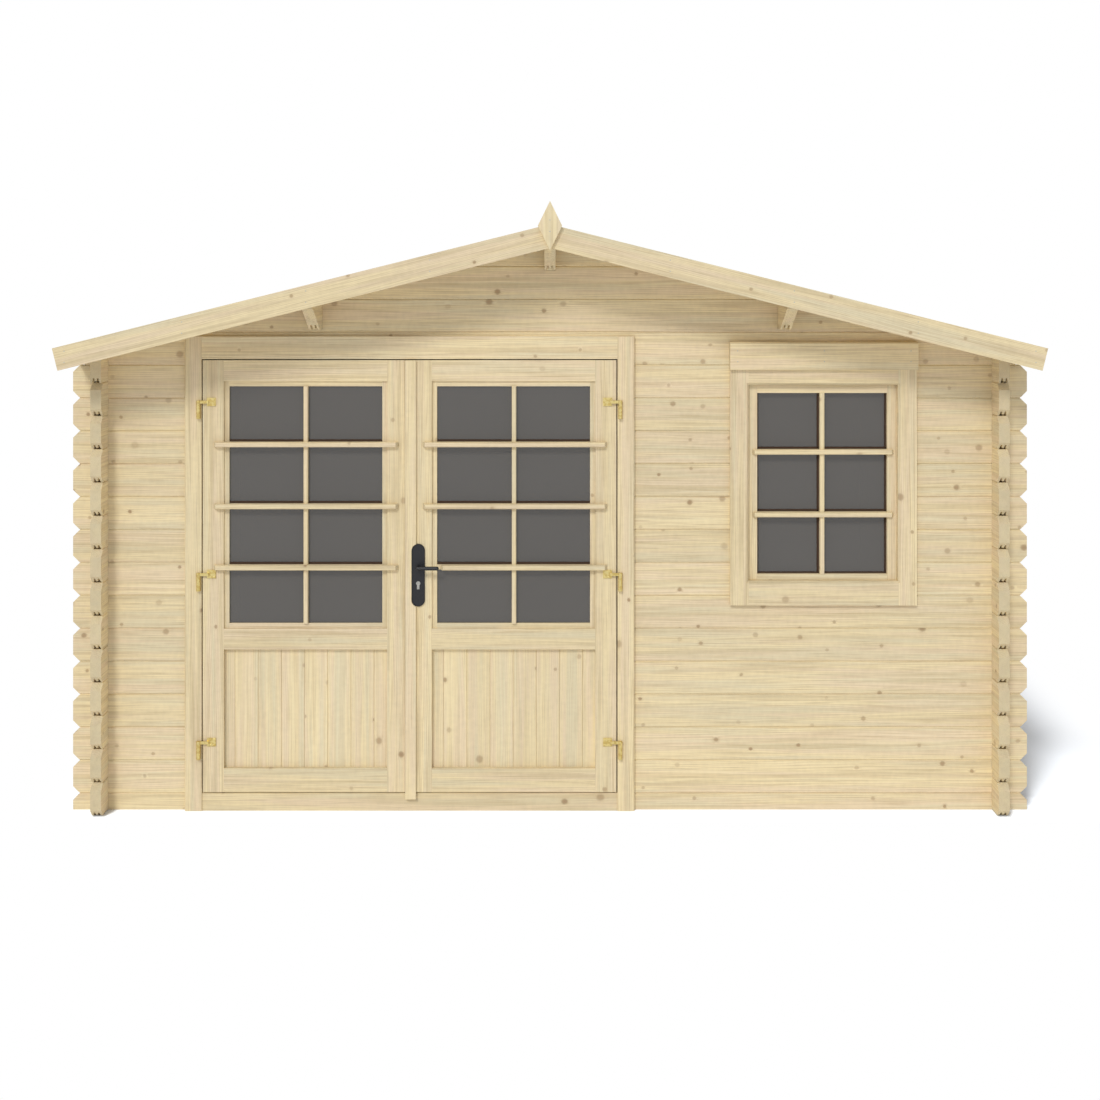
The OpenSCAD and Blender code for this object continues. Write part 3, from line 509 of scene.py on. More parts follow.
batten_wood = spruce("spruce_battens", "Y", 0.5, 0.1, seed=14, tone=0.95)
joist_wood = spruce("spruce_joists", "X", 0.5, 0.1, seed=18, tone=0.93)

dress_nodes({
    log_front: ["front_sill_log", "front_wall_left", "front_wall_middle", "front_wall_right",
                "front_wall_under_window", "door_lintel_log", "front_gable"],
    log_back: ["back_wall", "back_gable"],
    log_left: ["left_wall"],
    log_right: ["right_wall"],
    purlin_wood: ["ridge_purlin", "side_purlins"],
    edge_wood: ["bargeboards_front", "bargeboards_back"],
    batten_wood: ["eaves_battens"],
    joist_wood: ["floor_joists"],
})

# %% [markdown]
# ## Spruce for the joinery
# Stiles, jambs and strips stand upright, so their fibres do as well. A joiner picks clearer
# boards than a log wall needs, so these have fewer knots, and the door boards look calmer.

# %% Spruce for doors and window
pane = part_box("window_glass")
window_mid = middle(pane, 0)
FRAME_REACH, SASH_REACH = 306 * MM, 267 * MM
jamb_wood = spruce("spruce_jambs", "Z", 2.0, 0.574, face_y, seed=8, knots=0.45)
left_stile_wood = spruce("spruce_left_stiles", "Z", 1.0, 0.0, face_y, seed=15, knots=0.45)
right_stile_wood = spruce("spruce_right_stiles", "Z", 1.0, 0.15, face_y, seed=16, knots=0.45)
strip_wood = spruce("spruce_strips", "Z", 5.0, 2.5, face_y, seed=17, knots=0.3, contrast=0.75)
trim_level = spruce("spruce_level_trim", "X", 0.3, 0.1, face_y, seed=9, knots=0.45)
frame_wood = spruce("spruce_window_frame", "X", 0.3, 0.1, face_y, seed=10, knots=0.4,
                    upright=(window_mid, FRAME_REACH))
sash_wood = spruce("spruce_sash", "X", 0.3, 0.1, face_y, seed=11, knots=0.2,
                   upright=(window_mid, SASH_REACH))
panel_wood = spruce("spruce_door_boards", "Z", DOOR_BOARD, DOOR_JOINT, face_y, seed=12,
                    knots=0.5, contrast=0.6)

dress_nodes({
    jamb_wood: ["door_jambs"],
    left_stile_wood: ["left_door_stiles"],
    right_stile_wood: ["right_door_stiles"],
    strip_wood: ["astragal", "finial_front", "finial_back"],
    trim_level: ["door_head", "door_threshold", "left_door_rails", "right_door_rails",
                 "window_lintel_board"],
    frame_wood: ["window_frame"],
    sash_wood: ["window_sash"],
})

# %% [markdown]
# ## Metal, glass and felt
# One flat colour would make any of these look like plastic. Two near colours, mixed by a fine
# noise at the grit's own size, keep them alive, and that is all that shows at this distance.


# %% Two near colours
def plain(name, colour, second, grain, roughness, metallic=0.0, depth=0.0):
    """Two near colours that a fine noise mixes; grain is its size and depth its height."""
    material, tree, shader = new_material(name)
    shader.inputs["Metallic"].default_value = metallic
    where = add(tree, "TexCoord").outputs["Object"]
    noise = add(tree, "TexNoise", {"Vector": where, "Scale": 1 / grain, "Detail": 2.0})
    blend = add(tree, "MapRange", (noise, 0.42, 0.62), interpolation_type="SMOOTHSTEP")
    mixed = add(tree, "Mix", {0: blend, 6: linear(colour), 7: linear(second)}, data_type="RGBA")
    rough = add(tree, "Math", (noise, 0.14, roughness - 0.07), operation="MULTIPLY_ADD")
    tree.links.new(mixed.outputs[2], shader.inputs["Base Color"])
    tree.links.new(rough.outputs[0], shader.inputs["Roughness"])
    if depth:
        bump = add(tree, "Bump", {"Height": noise, "Distance": depth, "Strength": 1.0})
        tree.links.new(bump.outputs[0], shader.inputs["Normal"])
    return material, shader


brass, _ = plain("yellow_zinc_plating", "#E2CE8A", "#CFB56C", 12 * MM, 0.34, 0.8)
print("first finish:", brass.name)

# %% [markdown]
# ## Hinges, lock, panes and roof covering
# The hinges are steel, plated and passivated to a soft yellow. The lock's plates and lever are
# powder-coated black, and the cylinder is nickel. The panes are lightly tinted glass in front
# of a dark room; their even grey is a colour that covers 82 per cent of each pane, partly the
# glass's tint and partly painted shade of the dark room behind, with a sharp, weak gloss. The
# felt is bitumen with crushed slate pressed in: dark, rough and speckled at 2 mm.

# %% Metal, glass and felt
black, _ = plain("black_powder_coat", "#121216", "#18181D", 1.5 * MM, 0.42, depth=0.03 * MM)
nickel, _ = plain("nickel_plating", "#B9B7B0", "#A8A69F", 6 * MM, 0.3, 0.9)
felt, _ = plain("slated_bitumen_felt", "#3F4245", "#5C6063", 2.4 * MM, 0.9, depth=1.2 * MM)
# Glazing strips: their dark warm brown is painted reflection and shade where they show by the bars
# and the pane's edges.
strip_painted_shade, _ = plain("glazing_strip_painted_shade", "#382310", "#412B17", 3 * MM, 0.8)
steel, _ = plain("galvanised_nail", "#C6C6C0", "#B4B5B0", 2 * MM, 0.5, 0.5)
# The panes' grey at 0.82 cover is partly the glass's tint and partly painted shade of the dark
# room behind.
glass, glass_shader = plain("tinted_glass_painted_room_shade", "#5A5650", "#59554F", 400 * MM, 0.08)
glass_shader.inputs["Alpha"].default_value = 0.82
glass_shader.inputs["IOR"].default_value = 1.5
glass_shader.inputs["Specular IOR Level"].default_value = 1.0

dress_nodes({
    brass: ["hinge_pins", "left_door_straps", "right_door_straps"],
    black: ["lock_plates", "lever_handle"],
    nickel: ["lock_cylinder"],
    felt: ["roofing_felt"],
    glass: ["window_glass", "left_door_glass", "right_door_glass"],
})

# %% [markdown]
# ## A section carried along a path
# Bars, boards and strips all have one section from end to end. A scaled cube could stand in
# for them, but it has no cut edges to catch the light. So the section is a closed outline in
# two directions, and the path a row of stations, each with a place and two scales that let
# an end taper. One outer product of arrays gives all points at once.


# %% Carry a section along stations
def carry(section, stations, side, up):
    """Point = station + side * section_x * scale_x + up * section_y * scale_y.

    section is (n, 2), anticlockwise where side x up points along the path; stations is (m, 5):
    x, y, z and the two scales.
    """
    section, stations = np.asarray(section, float), np.asarray(stations, float)
    side, up = np.asarray(side, float), np.asarray(up, float)
    a = stations[:, 3:4] * section[:, 0]
    b = stations[:, 4:5] * section[:, 1]
    points = stations[:, None, :3] + a[..., None] * side + b[..., None] * up
    m, n = a.shape
    ring, corner = np.meshgrid(np.arange(m - 1), np.arange(n), indexing="ij")
    here, after = ring * n + corner, ring * n + (corner + 1) % n
    quads = np.stack([here, after, after + n, here + n], -1).reshape(-1, 4).tolist()
    ends = [list(range(n))[::-1], list(range((m - 1) * n, m * n))]
    return points.reshape(-1, 3), quads + ends


def straight(start, end, scales=(1, 1)):
    """Two stations of one scale, from start to end."""
    return [(*start, *scales), (*end, *scales)]


cube, cube_faces = carry([(0, 0), (1, 0), (1, 1), (0, 1)], straight((0, 0, 0), (0, 0, 1)),
                         (1, 0, 0), (0, 1, 0))
print("a square carried along a line has", len(cube), "points and", len(cube_faces), "faces")

# %% [markdown]
# ## New pieces that ride on a body
# Leaves and lever move, so whatever is fixed to them has to move along: every new piece is
# told which body it rides on. Parts of one kind are joined in one mesh, because a few large
# meshes are lighter to draw than many small ones.


# %% Pieces
def piece(name, points, faces, material, body, slot):
    """A mesh object from an (n, 3) array and a list of faces, riding on a body."""
    mesh = bpy.data.meshes.new(name)
    mesh.from_pydata(np.asarray(points, float).reshape(-1, 3).tolist(), [], faces)
    mesh.materials.append(material)
    mesh.validate()
    thing = bpy.data.objects.new(name, mesh)
    bpy.context.scene.collection.objects.link(thing)
    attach(thing, body)
    return thing


def join_parts(parts):
    """Stacks (points, faces) pairs into one pair, with the faces' numbers moved along."""
    points, faces, start = [], [], 0
    for part_points, part_faces in parts:
        points.append(part_points)
        faces += [np.add(face, start).tolist() for face in part_faces]
        start += len(part_points)
    return np.concatenate(points), faces


# %% [markdown]
# ## Boards in the doors
# The lower half of each leaf is filled with narrow boards side by side. A small bevel on each
# edge turns every joint into a V, which hides that the wood swells and shrinks. The joints
# could be drawn by a bump, but only real edges catch the light. The frame has the boards as
# one slab, so these take the slab's place, each as a prism of its own.


# %% Door boards
def board_section(width, thickness, cut, both=True):
    """A rectangle centred on 0 whose corners are cut, at the front only or all round."""
    w, t = width / 2, thickness / 2
    back = [(w - cut, t), (-w + cut, t), (-w, t - cut)] if both else [(w, t), (-w, t)]
    front = [(-w, -t + cut), (-w + cut, -t), (w - cut, -t), (w, -t + cut)]
    return front + ([(w, t - cut)] if both else []) + back


SEAM, PANEL_CUT, LEAST_BOARD = 0.4 * MM, 2 * MM, 10 * MM
for side in ("left", "right"):
    low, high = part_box(side + "_door_panel")
    first, last = math.floor(low.x / DOOR_BOARD), math.ceil(high.x / DOOR_BOARD) + 1
    edges = np.unique(np.clip(np.arange(first, last + 1) * DOOR_BOARD - DOOR_JOINT, low.x, high.x))
    depth = (low.y + high.y) / 2
    parts = []
    for left, right in zip(edges[:-1], edges[1:]):
        if right - left > LEAST_BOARD:
            section = board_section(right - left - SEAM, high.y - low.y, PANEL_CUT)
            where = ((left + right) / 2, depth)
            path = straight((*where, low.z), (*where, high.z))
            parts.append(carry(section, path, (1, 0, 0), (0, 1, 0)))
    panel = piece(side + "_door_boards", *join_parts(parts), panel_wood, side + "_door",
                  "spruce_trim")
    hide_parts(side + "_door_panel")
    print(side, "panel:", len(parts), "boards")

# %% [markdown]
# ## Boards in the roof
# Roof boards run down the slope from the ridge, with V-joints on the side that shows from
# inside. They are laid out on the right slope only, and a mirror vector turns the same arrays
# into the left one, because mirroring the finished mesh would turn its faces inside out.

# %% Roof boards
# Along a slope, height = ridge - x * tan(pitch), and its length = level run / cos(pitch).
ROOF_CUT = 3 * MM
deck_low, deck_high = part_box("roof_deck_right")
down = np.array([math.cos(PITCH), 0, -math.sin(PITCH)])
out = np.array([math.sin(PITCH), 0, math.cos(PITCH)])
top_z = ridge_under_z - deck_low.x * math.tan(PITCH)
slope_length = deck_high.x - deck_low.x - DECK_THICKNESS * math.sin(PITCH)
slope_length /= math.cos(PITCH)
count = round((deck_high.y - deck_low.y) / ROOF_BOARD)
centres = (np.arange(count) + 0.5) * ROOF_BOARD + deck_low.y
section = board_section(ROOF_BOARD - SEAM, DECK_THICKNESS, ROOF_CUT, both=False)
for side, sign in (("right", 1), ("left", -1)):
    mirror = np.array([sign, 1, 1])
    parts = []
    for y in centres:
        start = np.array([deck_low.x, y, top_z]) + out * DECK_THICKNESS / 2
        ends = straight(start * mirror, (start + down * slope_length) * mirror)
        parts.append(carry(section, ends, (0, sign, 0), out * mirror))
    boards = piece("roof_boards_" + side, *join_parts(parts), roof_wood, "shed", "roof_boards")
    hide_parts("roof_deck_" + side)
print("roof:", count, "boards a side, each", round(slope_length, 3), "m long")

# %% [markdown]
# ## Boards in the floor
# Floor boards run along the front and lie side by side from front to back. They are seen
# through open doors only, so a plain section with a small bevel does.

# %% Floor boards
low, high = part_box("floor_deck")
edges = np.linspace(low.y, high.y, round((high.y - low.y) / FLOOR_BOARD) + 1)
parts = []
for near, far in zip(edges[:-1], edges[1:]):
    section = board_section(far - near - SEAM, high.z - low.z, PANEL_CUT)
    where = ((near + far) / 2, (low.z + high.z) / 2)
    path = straight((low.x, *where), (high.x, *where))
    parts.append(carry(section, path, (0, 1, 0), (0, 0, -1)))
floor_boards = piece("floor_boards", *join_parts(parts), floor_wood, "shed", "floor_boards")
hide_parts("floor_deck")
print("floor:", len(parts), "boards")

# %% [markdown]
# ## Glazing bars of the doors
# Thin bars divide the look of the panes. The level bars lie on the leaf's face and run over
# the stiles with tapered ends; the upright bar sits under them against the pane, and the
# inside has the same grid. Behind each bar a dark strip holds the glass; where it shows above
# the level bars, its colour is painted reflection and shade. All are one section carried
# along X or Z, so that a bar is one line of text: its ends, its height, its faces.

# %% Sections of bars
BAR, SHADE_LINE_EXTRA, STRIP = 20 * MM, 7 * MM, 6 * MM
# Where the dark strips show past a bar, their colour is painted reflection and shade.
SHADE_LINE_OFFSET = 5 * MM  # the dark strip shows above a level bar and beside an upright one
JUST_OFF = 0.2 * MM  # play that keeps two faces from lying in one plane


def bar_section(width, depth, turn):
    """A strip on its back, both front edges cut; turn is 1 or -1, the way round it goes."""
    half, cut = turn * width / 2, min(3 * MM, depth / 3)
    return [(-half, 0), (half, 0), (half, depth - cut), (half - turn * cut, depth),
            (-half + turn * cut, depth), (-half, depth - cut)]


def level_bar(x0, x1, z, front, back, height, taper=0.0):
    """A bar along X, whose ends slope back to 0.3 of its depth over the taper."""
    stations = straight((x0, back, z), (x1, back, z))
    if taper:
        stations = [(x0, back, z, 1, 0.3), (x0 + taper, back, z, 1, 1),
                    (x1 - taper, back, z, 1, 1), (x1, back, z, 1, 0.3)]
    return carry(bar_section(height, back - front, 1), stations, (0, 0, 1), (0, -1, 0))


def upright_bar(x, z0, z1, front, back, width):
    """A bar along Z."""
    path = straight((x, back, z0), (x, back, z1))
    return carry(bar_section(width, back - front, -1), path, (1, 0, 0), (0, -1, 0))


print("bars", BAR / MM, "mm high on strips", (BAR + SHADE_LINE_EXTRA) / MM, "mm high")

# %% [markdown]
# ## Where the door bars go
# Both leaves have the same rows, but the astragal and the stiles take their own room, so each
# leaf has its own ends. The right leaf's last bar starts later, to leave room for the lever.

# %% Places of the door bars
BAR_PROUD, UPRIGHT, TAPER = 22 * MM, 18 * MM, 9 * MM
LEAF_FACE, LEAF_BACK = -1375 * MM, -1335 * MM
PANE_FRONT, PANE_BACK = -1357 * MM, -1353 * MM
GLASS_LOW, GLASS_HIGH = 767 * MM, 1736 * MM
LEVELS = np.array([1499.5, 1247.0, 997.5]) * MM
DOORS = {  # millimetres in X: ends of the bars, of the pane, the upright, where the last starts
    "left": {"over": (-1372, -620), "glass": (-1312, -686), "upright": -998, "last": -1372},
    "right": {"over": (-519, 232), "glass": (-462, 164), "upright": -147, "last": -446},
}
print("bars stand", round(BAR_PROUD / MM), "mm proud of the leaf")

# %% Door bars
for side, at in DOORS.items():
    x0, x1 = (v * MM for v in at["over"])
    g0, g1 = (v * MM for v in at["glass"])
    bars, shade_strips = [], []
    for row, z in enumerate(LEVELS):
        start = x0 if row < 2 else at["last"] * MM
        bars += [
            level_bar(start, x1, z, LEAF_FACE - BAR_PROUD, LEAF_FACE - JUST_OFF, BAR, TAPER),
            level_bar(g0, g1, z, LEAF_FACE + 0.3 * MM, PANE_FRONT - STRIP, BAR),
            level_bar(g0, g1, z, PANE_BACK + 4 * MM, LEAF_BACK, BAR)]
        # The outer strip shows above the bar as a dark line of painted reflection and shade.
        shade_strips += [
            level_bar(g0, g1, z + SHADE_LINE_OFFSET, PANE_FRONT - STRIP, PANE_FRONT - JUST_OFF,
                      BAR + SHADE_LINE_EXTRA),
            level_bar(g0, g1, z, PANE_BACK + JUST_OFF, PANE_BACK + 4 * MM, BAR)]
    x = at["upright"] * MM
    uprights = [upright_bar(x, GLASS_LOW, GLASS_HIGH, front, back, UPRIGHT) for front, back in (
        (LEAF_FACE - 4 * MM, PANE_FRONT - 2 * MM), (PANE_BACK + 2 * MM, LEAF_BACK))]
    piece(side + "_door_bars", *join_parts(bars), trim_level, side + "_door", "spruce_trim")
    piece(side + "_door_upright_bars", *join_parts(uprights), strip_wood, side + "_door",
          "spruce_trim")
    piece(side + "_door_shade_strips", *join_parts(shade_strips), strip_painted_shade, side + "_door", "black_metal")
print("door bars:", len(LEVELS), "levels a leaf")

# %% [markdown]
# ## Glazing bars of the window
# The window has two level bars and one upright one, made with the doors' own functions. Its
# level bars also run a little past the sash's opening, and the dark strip goes on round the
# sides and the foot of the pane, as painted shade along the pane's edges and painted
# reflection and shade above and beside the bars.

# %% Window bars
SASH_FACE, WINDOW_BAR_X, WINDOW_LEVELS = -1343 * MM, 1117.7 * MM, (1465 * MM, 1208 * MM)
WINDOW_PROUD, WINDOW_TAPER, BAR_ENDS = 16 * MM, 7 * MM, (832 * MM, 1408 * MM)
(left, foot), (right, top) = (851 * MM, 962.8 * MM), (1385 * MM, 1706.8 * MM)
# The window's dark strips show as painted shade along the pane's edges and painted reflection and
# shade above and beside the bars.
bed = (pane[0].y - STRIP, pane[0].y - JUST_OFF)
bars, shade_strips = [], []
for z in WINDOW_LEVELS:
    bars += [level_bar(*BAR_ENDS, z, SASH_FACE - WINDOW_PROUD, SASH_FACE - JUST_OFF, BAR,
                       WINDOW_TAPER),
             level_bar(left, right, z, SASH_FACE + 0.3 * MM, bed[0], BAR)]
    shade_strips.append(level_bar(left, right, z + SHADE_LINE_OFFSET, *bed, BAR + SHADE_LINE_EXTRA))
upright = upright_bar(WINDOW_BAR_X, foot, top, SASH_FACE - 3 * MM, bed[0], 19 * MM)
shade_strips.append(upright_bar(WINDOW_BAR_X - SHADE_LINE_OFFSET, foot, top, *bed, 26 * MM))
shade_strips.append(level_bar(left, right, foot + 3 * MM, *bed, 6 * MM))
for x in (left + 3.5 * MM, right - 3.5 * MM):
    shade_strips.append(upright_bar(x, foot, top, *bed, 7 * MM))
piece("window_bars", *join_parts(bars), trim_level, "shed", "spruce_trim")
piece("window_upright_bar", *upright, strip_wood, "shed", "spruce_trim")
piece("window_shade_strips", *join_parts(shade_strips), strip_painted_shade, "shed", "black_metal")
print("window bars:", len(bars))

# %% [markdown]
# ## A lip and a bead
# A strip on the leaf that opens first covers the line where the leaves meet; its outer edge
# gets a planed lip. Round the window's sash a thin bead closes the joint with the frame. Both
# are plain bars with square edges: at 3 mm a bevel would not show.


# %% Lip of the astragal and bead round the sash
def box_bar(low, high):
    """A straight bar with the corners of a box."""
    (x0, y0, z0), (x1, y1, z1) = low, high
    section = [(x1, y0), (x0, y0), (x0, y1), (x1, y1)]
    return carry(section, straight((0, 0, z0), (0, 0, z1)), (1, 0, 0), (0, 1, 0))


LIP, LIP_BEHIND, PLAY = 3.2 * MM, 2 * MM, 0.05 * MM
low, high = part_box("astragal")
lip = box_bar((low.x - LIP, low.y, low.z), (low.x - PLAY, high.y - LIP_BEHIND, high.z))
piece("astragal_lip", *lip, strip_wood, "right_door", "spruce_trim")

BEAD = 2.9 * MM
low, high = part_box("window_sash")
near, far = low.y + 1.5 * MM, low.y + 12 * MM
beads = [box_bar((low.x - BEAD, near, low.z - BEAD), (low.x - PLAY, far, high.z + BEAD)),
         box_bar((high.x + PLAY, near, low.z - BEAD), (high.x + BEAD, far, high.z + BEAD)),
         box_bar((low.x, near, low.z - BEAD), (high.x, far, low.z - PLAY)),
         box_bar((low.x, near, high.z + PLAY), (high.x, far, high.z + BEAD))]
piece("window_bead", *join_parts(beads), sash_wood, "shed", "spruce_trim")
print("bead round a sash of", [round(v, 3) for v in (high.x - low.x, high.z - low.z)], "m")

# %% [markdown]
# ## Strips in the purlins
# The purlins are milled like the logs, with two grooves underneath, and their ends are cut on
# a slant. A strip lies in the grooves and stops short of the cut, so that no dark tunnel
# shows. It is carried with square ends first, and then each point moves in y with its height,
# which lays the ends along the same slant.

# %% Strips in the purlins' grooves
TOE, SETBACK = 1425 * MM, 50 * MM  # where the cut starts at the foot, and how far behind it
SLANT = 181.7 / 88  # the cut's run in y for each unit of z
SIDE_PURLIN = 0.955
# Half of the two grooves' outline, in millimetres from the middle and from the foot
half = [(14.7, 0.5), (14.7, 6.7), (12.2, 6.7), (11.2, 18.7), (5.8, 18.7), (4.8, 6.7)]
section = np.array(half + [(-x, z) for x, z in reversed(half)]) * MM
strips = []
for x, node in ((0, "ridge_purlin"), (-SIDE_PURLIN, "side_purlins"),
                (SIDE_PURLIN, "side_purlins")):
    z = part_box(node)[0].z
    path = straight((x, TOE - SETBACK, z), (x, SETBACK - TOE, z))
    points, faces = carry(section, path, (1, 0, 0), (0, 0, 1))
    points[:, 1] += np.sign(points[:, 1]) * SLANT * (points[:, 2] - z)
    strips.append((points, faces))
piece("purlin_strips", *join_parts(strips), purlin_wood, "shed", "spruce_logs")
print("strips in", len(strips), "purlins")

# %% [markdown]
# ## Felt in courses
# The roof is covered from the eaves up: the upper course laps over the lower one, and a strip
# over the ridge laps over both. Each is a thin chevron carried from gable to gable, so that
# its lower edge stands up as a step. A line in the material would not cast that thin shadow.

# %% Felt courses
LAP, RIDGE_LAP, SHEET = 1.07, 0.30, 2.2 * MM
felt_low, felt_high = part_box("roofing_felt")


def chevron(reach, lift, thickness):
    """The outline of a sheet bent over the ridge: height = top + lift - |x| tan(pitch)."""
    x = reach * math.cos(PITCH)
    low, high = felt_high.z + lift, felt_high.z + lift + thickness
    drop = x * math.tan(PITCH)
    return [(-x, low - drop), (0, low), (x, low - drop), (x, high - drop), (0, high),
            (-x, high - drop)]


path = straight((0, felt_high.y - 1 * MM, 0), (0, felt_low.y + 1 * MM, 0))
courses = [carry(chevron(reach, lift * MM, SHEET), path, (1, 0, 0), (0, 0, 1))
           for reach, lift in ((LAP, 0.3), (RIDGE_LAP, 2.8))]
piece("felt_courses", *join_parts(courses), felt, "shed", "roofing_felt")
print("felt laps at", LAP, "and", RIDGE_LAP, "m from the ridge")

# %% [markdown]
# ## Nails and screws
# Every head is a small disc with a domed edge, and a circle carried over three short stations
# gives just that, with few faces, because there are more than a hundred of them.

# %% Heads of nails and screws
NAIL, CLOUT, SCREW = 2.2 * MM, 5 * MM, 3 * MM  # radii
RISES = ((0.05, 1), (0.6, 1), (1.0, 0.75))  # millimetres off the face, and the disc's scale


def heads(name, places, out, radius, material, body="shed", slot="nickel_lock"):
    """Discs of one radius at the places, standing out along one direction, as one mesh.

    Point = place + out * rise + radius * scale * (side * cos(turn) + up * sin(turn)).
    """
    out = np.array(out, float)
    side = np.cross((0, 0, 1) if abs(out[2]) < 0.9 else (0, 1, 0), out)
    side /= np.linalg.norm(side)
    turn = np.arange(10) * math.tau / 10
    circle = np.stack([np.cos(turn), np.sin(turn)], 1) * radius
    parts = []
    for place in np.asarray(places, float):
        rows = [(*(place + out * rise * MM), scale, scale) for rise, scale in RISES]
        parts.append(carry(circle, rows, side, np.cross(out, side)))
    piece(name, *join_parts(parts), material, body, slot)
    print(name + ":", len(parts))


print("a head stands", RISES[-1][0], "mm out")

# %% [markdown]
# ## Where the nails and screws go
# They sit where a carpenter would set them: two nails where a bargeboard crosses a timber,
# clout nails along the laps and the eaves of the felt, four screws in each hinge plate, and
# two through the lock's plates. They read only from close by.

# %% Nails in the boards at the front and back
FRONT, BACK = (0, -1, 0), (0, 1, 0)
across = np.array([-1900, -1440, -955, -470, 470, 955, 1440, 1900]) * MM
low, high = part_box("bargeboards_front")
line = high.z - np.abs(across) * math.tan(PITCH) - 45 * MM  # half way up the board
rows = [(x, z + up) for x, z in zip(across, line) for up in (-22 * MM, 22 * MM)]
back_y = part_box("bargeboards_back")[1].y
heads("bargeboard_nails_front", [(x, low.y, z) for x, z in rows], FRONT, NAIL, steel)
heads("bargeboard_nails_back", [(x, back_y, z) for x, z in rows], BACK, NAIL, steel)
FINIAL_Z, LINTEL_X, LINTEL_Z = (2360, 2405), (765, 1118, 1471), (1838, 1882)  # millimetres
finial_y, lintel_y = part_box("finial_front")[0].y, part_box("window_lintel_board")[0].y
heads("finial_nails", [(0, finial_y, z * MM) for z in FINIAL_Z], FRONT, NAIL, steel)
heads("lintel_nails", [(x * MM, lintel_y, z * MM) for x in LINTEL_X for z in LINTEL_Z],
      FRONT, NAIL, steel)

# %% Clout nails in the felt
EDGE_Z, FIRST, SPACING = 1875 * MM, -1.58, 0.158
along = np.arange(FIRST, 1.6, SPACING)
for side, sign in (("right", 1), ("left", -1)):
    nails = []
    for reach, lift in ((LAP - 0.03, 2.5), (RIDGE_LAP - 0.03, 5.0)):
        x = reach * math.cos(PITCH)
        top = felt_high.z + lift * MM / math.cos(PITCH) - x * math.tan(PITCH)
        nails += [(sign * x, y, top) for y in along]
    out = (sign * math.sin(PITCH), 0, math.cos(PITCH))
    heads("felt_nails_" + side, nails, out, CLOUT, steel)
    edge = [(sign * felt_high.x, y, EDGE_Z) for y in along]
    heads("eaves_nails_" + side, edge, (sign, 0, 0), CLOUT, steel)

# %% Screws in the hinges and the lock
PLATE_FACE = LEAF_FACE - 4 * MM
HINGE_Z, SCREW_X, SCREW_Z = (283, 969.5, 1673), (48, 63), (-11, 11)  # millimetres
LOCK_Z, LOCK_FACES = (850, 1081), (("front", -1384, FRONT), ("back", -1326, BACK))
for side, axis_x, sign in (("left", -1435, 1), ("right", 287, -1)):
    screws = [((axis_x + sign * dx) * MM, PLATE_FACE, (z + dz) * MM)
              for z in HINGE_Z for dx in SCREW_X for dz in SCREW_Z]
    heads(side + "_hinge_screws", screws, FRONT, SCREW, brass, side + "_door", "brass_plated")
lock_x = middle(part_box("lock_plates"), 0)
for name, y, out in LOCK_FACES:
    places = [(lock_x, y * MM, z * MM) for z in LOCK_Z]
    heads("lock_screws_" + name, places, out, SCREW, black, "right_door", "black_metal")

# %% [markdown]
# ## A white studio
# Where the camera looks past the cabin, the world is pure white, and so are reflections and
# what glass lets through. The light that falls on the wood is lower, so that a colour renders
# about as it is written, and a shade cooler, as daylight from all round is. A Light Path node
# tells the two apart, which saves a backdrop that would throw shadows of its own.

# %% World
AMBIENT, SKY = 0.53, "#F2F6FF"
world = bpy.data.worlds.new("studio")
bpy.context.scene.world = world
world.use_nodes = True
tree = world.node_tree
tree.nodes.clear()
ray = add(tree, "LightPath").outputs
seen = add(tree, "Math", (ray["Is Camera Ray"], ray["Is Glossy Ray"]), operation="MAXIMUM")
seen = add(tree, "Math", (seen, ray["Is Transmission Ray"]), operation="MAXIMUM")
strength = add(tree, "Math", (seen, 1 - AMBIENT, AMBIENT), operation="MULTIPLY_ADD")
tint = add(tree, "Mix", {0: seen, 6: linear(SKY), 7: (1, 1, 1, 1)}, data_type="RGBA")
sky = add(tree, "Background", {"Color": tint.outputs[2], "Strength": strength})
add(tree, "OutputWorld", {"Surface": sky})
bpy.context.scene.view_settings.view_transform = "Standard"
print("the sky lights the wood at", AMBIENT, "of white")

# %% [markdown]
# ## A soft sun
# One broad lamp from the upper left gives the roof, the bars and the frames their soft
# shadows. A sun has the same direction everywhere, so a building's whole front is lit alike;
# an area lamp would fall off across it.

# %% The main lamp
KEY, TO_LIGHT, KEY_DISC = 1.35, (-0.36, -1.0, 0.82), 14


def sun(name, towards, energy, disc):
    """A sun lamp that shines from a direction; disc is how many degrees wide it looks.

    Its tilt is atan2(level distance, height), and its turn round the vertical atan2(x, -y).
    """
    lamp = bpy.data.objects.new(name, bpy.data.lights.new(name, "SUN"))
    lamp.data.energy, lamp.data.angle = energy, math.radians(disc)
    flat = math.hypot(towards[0], towards[1])
    lamp.rotation_euler = (math.atan2(flat, towards[2]), 0, math.atan2(towards[0], -towards[1]))
    bpy.context.scene.collection.objects.link(lamp)
    print(name, "stands", round(math.degrees(math.atan2(towards[2], flat))), "degrees up")
    return lamp


sun("key", TO_LIGHT, KEY, KEY_DISC)

# %% [markdown] ## The floor The cabin stands on white paper, one large square.

# %% Floor
HALF, FADE_FROM, FADE_TO = 60, 0.3, 0.8  # metres
FASTER = 5.0  # how much faster the paper fades in front and on the left, the lit sides
BOUNCING, SHOWN = "#D0D0D0", "#E6EAEF"
floor_mesh = bpy.data.meshes.new("studio_floor")
corners = [(-HALF, -HALF, 0), (HALF, -HALF, 0), (HALF, HALF, 0), (-HALF, HALF, 0)]
floor_mesh.from_pydata(corners, [], [(0, 1, 2, 3)])
floor = bpy.data.objects.new("studio_floor", floor_mesh)
bpy.context.scene.collection.objects.link(floor)
print("floor:", 2 * HALF, "m square")

# %% [markdown]
# ## Paper that fades to white
# The paper keeps the shadow near the cabin and fades to plain white a little further out,
# which is how a product stands on paper that runs out of the light. It throws a little less
# light back at the wood than it shows to the camera.

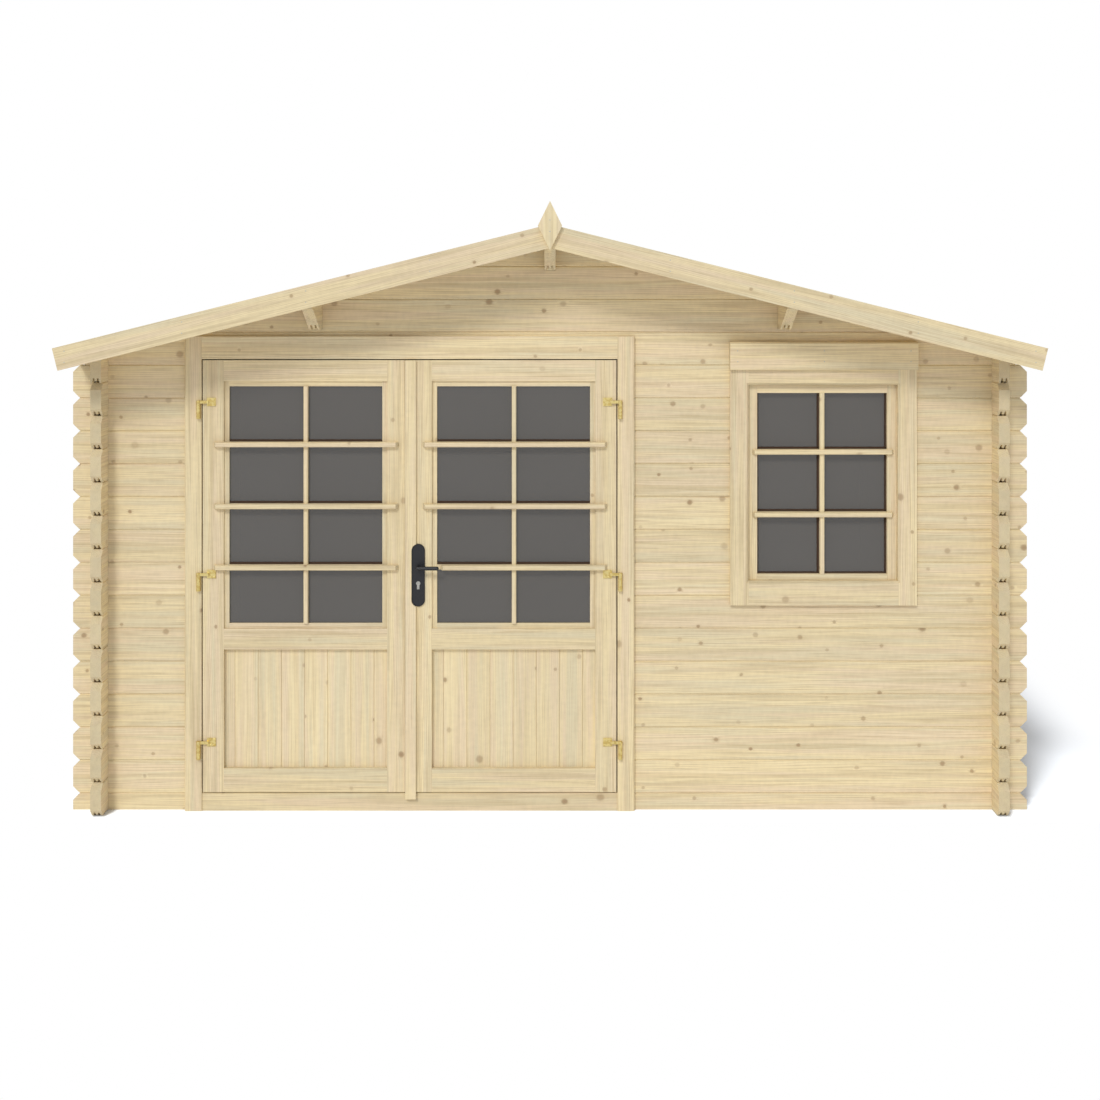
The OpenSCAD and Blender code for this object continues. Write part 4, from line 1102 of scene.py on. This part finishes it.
# %% Paper
paper, tree, shader = new_material("studio_paper")
shader.inputs["Roughness"].default_value = 0.9
shader.inputs["Specular IOR Level"].default_value = 0.0
camera_ray = add(tree, "LightPath").outputs["Is Camera Ray"]
both = add(tree, "Mix", {0: camera_ray, 6: linear(BOUNCING), 7: linear(SHOWN)},
           data_type="RGBA")
tree.links.new(both.outputs[2], shader.inputs["Base Color"])
where = add(tree, "SeparateXYZ", {0: add(tree, "TexCoord").outputs["Object"]}).outputs
foot_low, foot_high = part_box("front_sill_log")[0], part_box("back_wall")[1]
square = 0.0
for axis in (0, 1):  # how far outside the cabin's foot, squared and added up
    over = add(tree, "Math", (where[axis], foot_high[axis]), operation="SUBTRACT")
    over = add(tree, "Math", (over, 0.0), operation="MAXIMUM")
    under = add(tree, "Math", (foot_low[axis], where[axis]), operation="SUBTRACT")
    under = add(tree, "Math", (under, 0.0), operation="MAXIMUM")
    out = add(tree, "Math", (under, FASTER, over), operation="MULTIPLY_ADD")
    square = add(tree, "Math", (out, out, square), operation="MULTIPLY_ADD")
away = add(tree, "Math", (square,), operation="SQRT")
fade = add(tree, "MapRange", (away, FADE_FROM, FADE_TO), interpolation_type="SMOOTHSTEP")
bare = add(tree, "Math", (fade, camera_ray), operation="MULTIPLY")
white = add(tree, "Emission", {"Color": (1, 1, 1, 1), "Strength": 1.0})
mixed = add(tree, "MixShader", (bare, shader, white))
tree.links.new(mixed.outputs[0], tree.nodes["Material Output"].inputs["Surface"])
floor_mesh.materials.append(paper)
print("paper fades to white between", FADE_FROM, "and", FADE_TO, "m from the cabin")

# %% [markdown]
# ## A lamp for the floor alone
# How long the shadow on the paper is and how soft, should not depend on the shadows on the
# wall. Light linking gives the paper a lamp of its own, higher than the main one.

# %% The floor's lamp
FLOOR_TO_LIGHT, FLOOR_LIGHT, FLOOR_DISC = (-0.44, -1.0, 1.58), 2.3, 9
floor_only = bpy.data.collections.new("lit_by_the_floor_lamp")
floor_only.objects.link(floor)
floor_lamp = sun("floor_lamp", FLOOR_TO_LIGHT, FLOOR_LIGHT, FLOOR_DISC)
floor_lamp.light_linking.receiver_collection = floor_only

# %% [markdown]
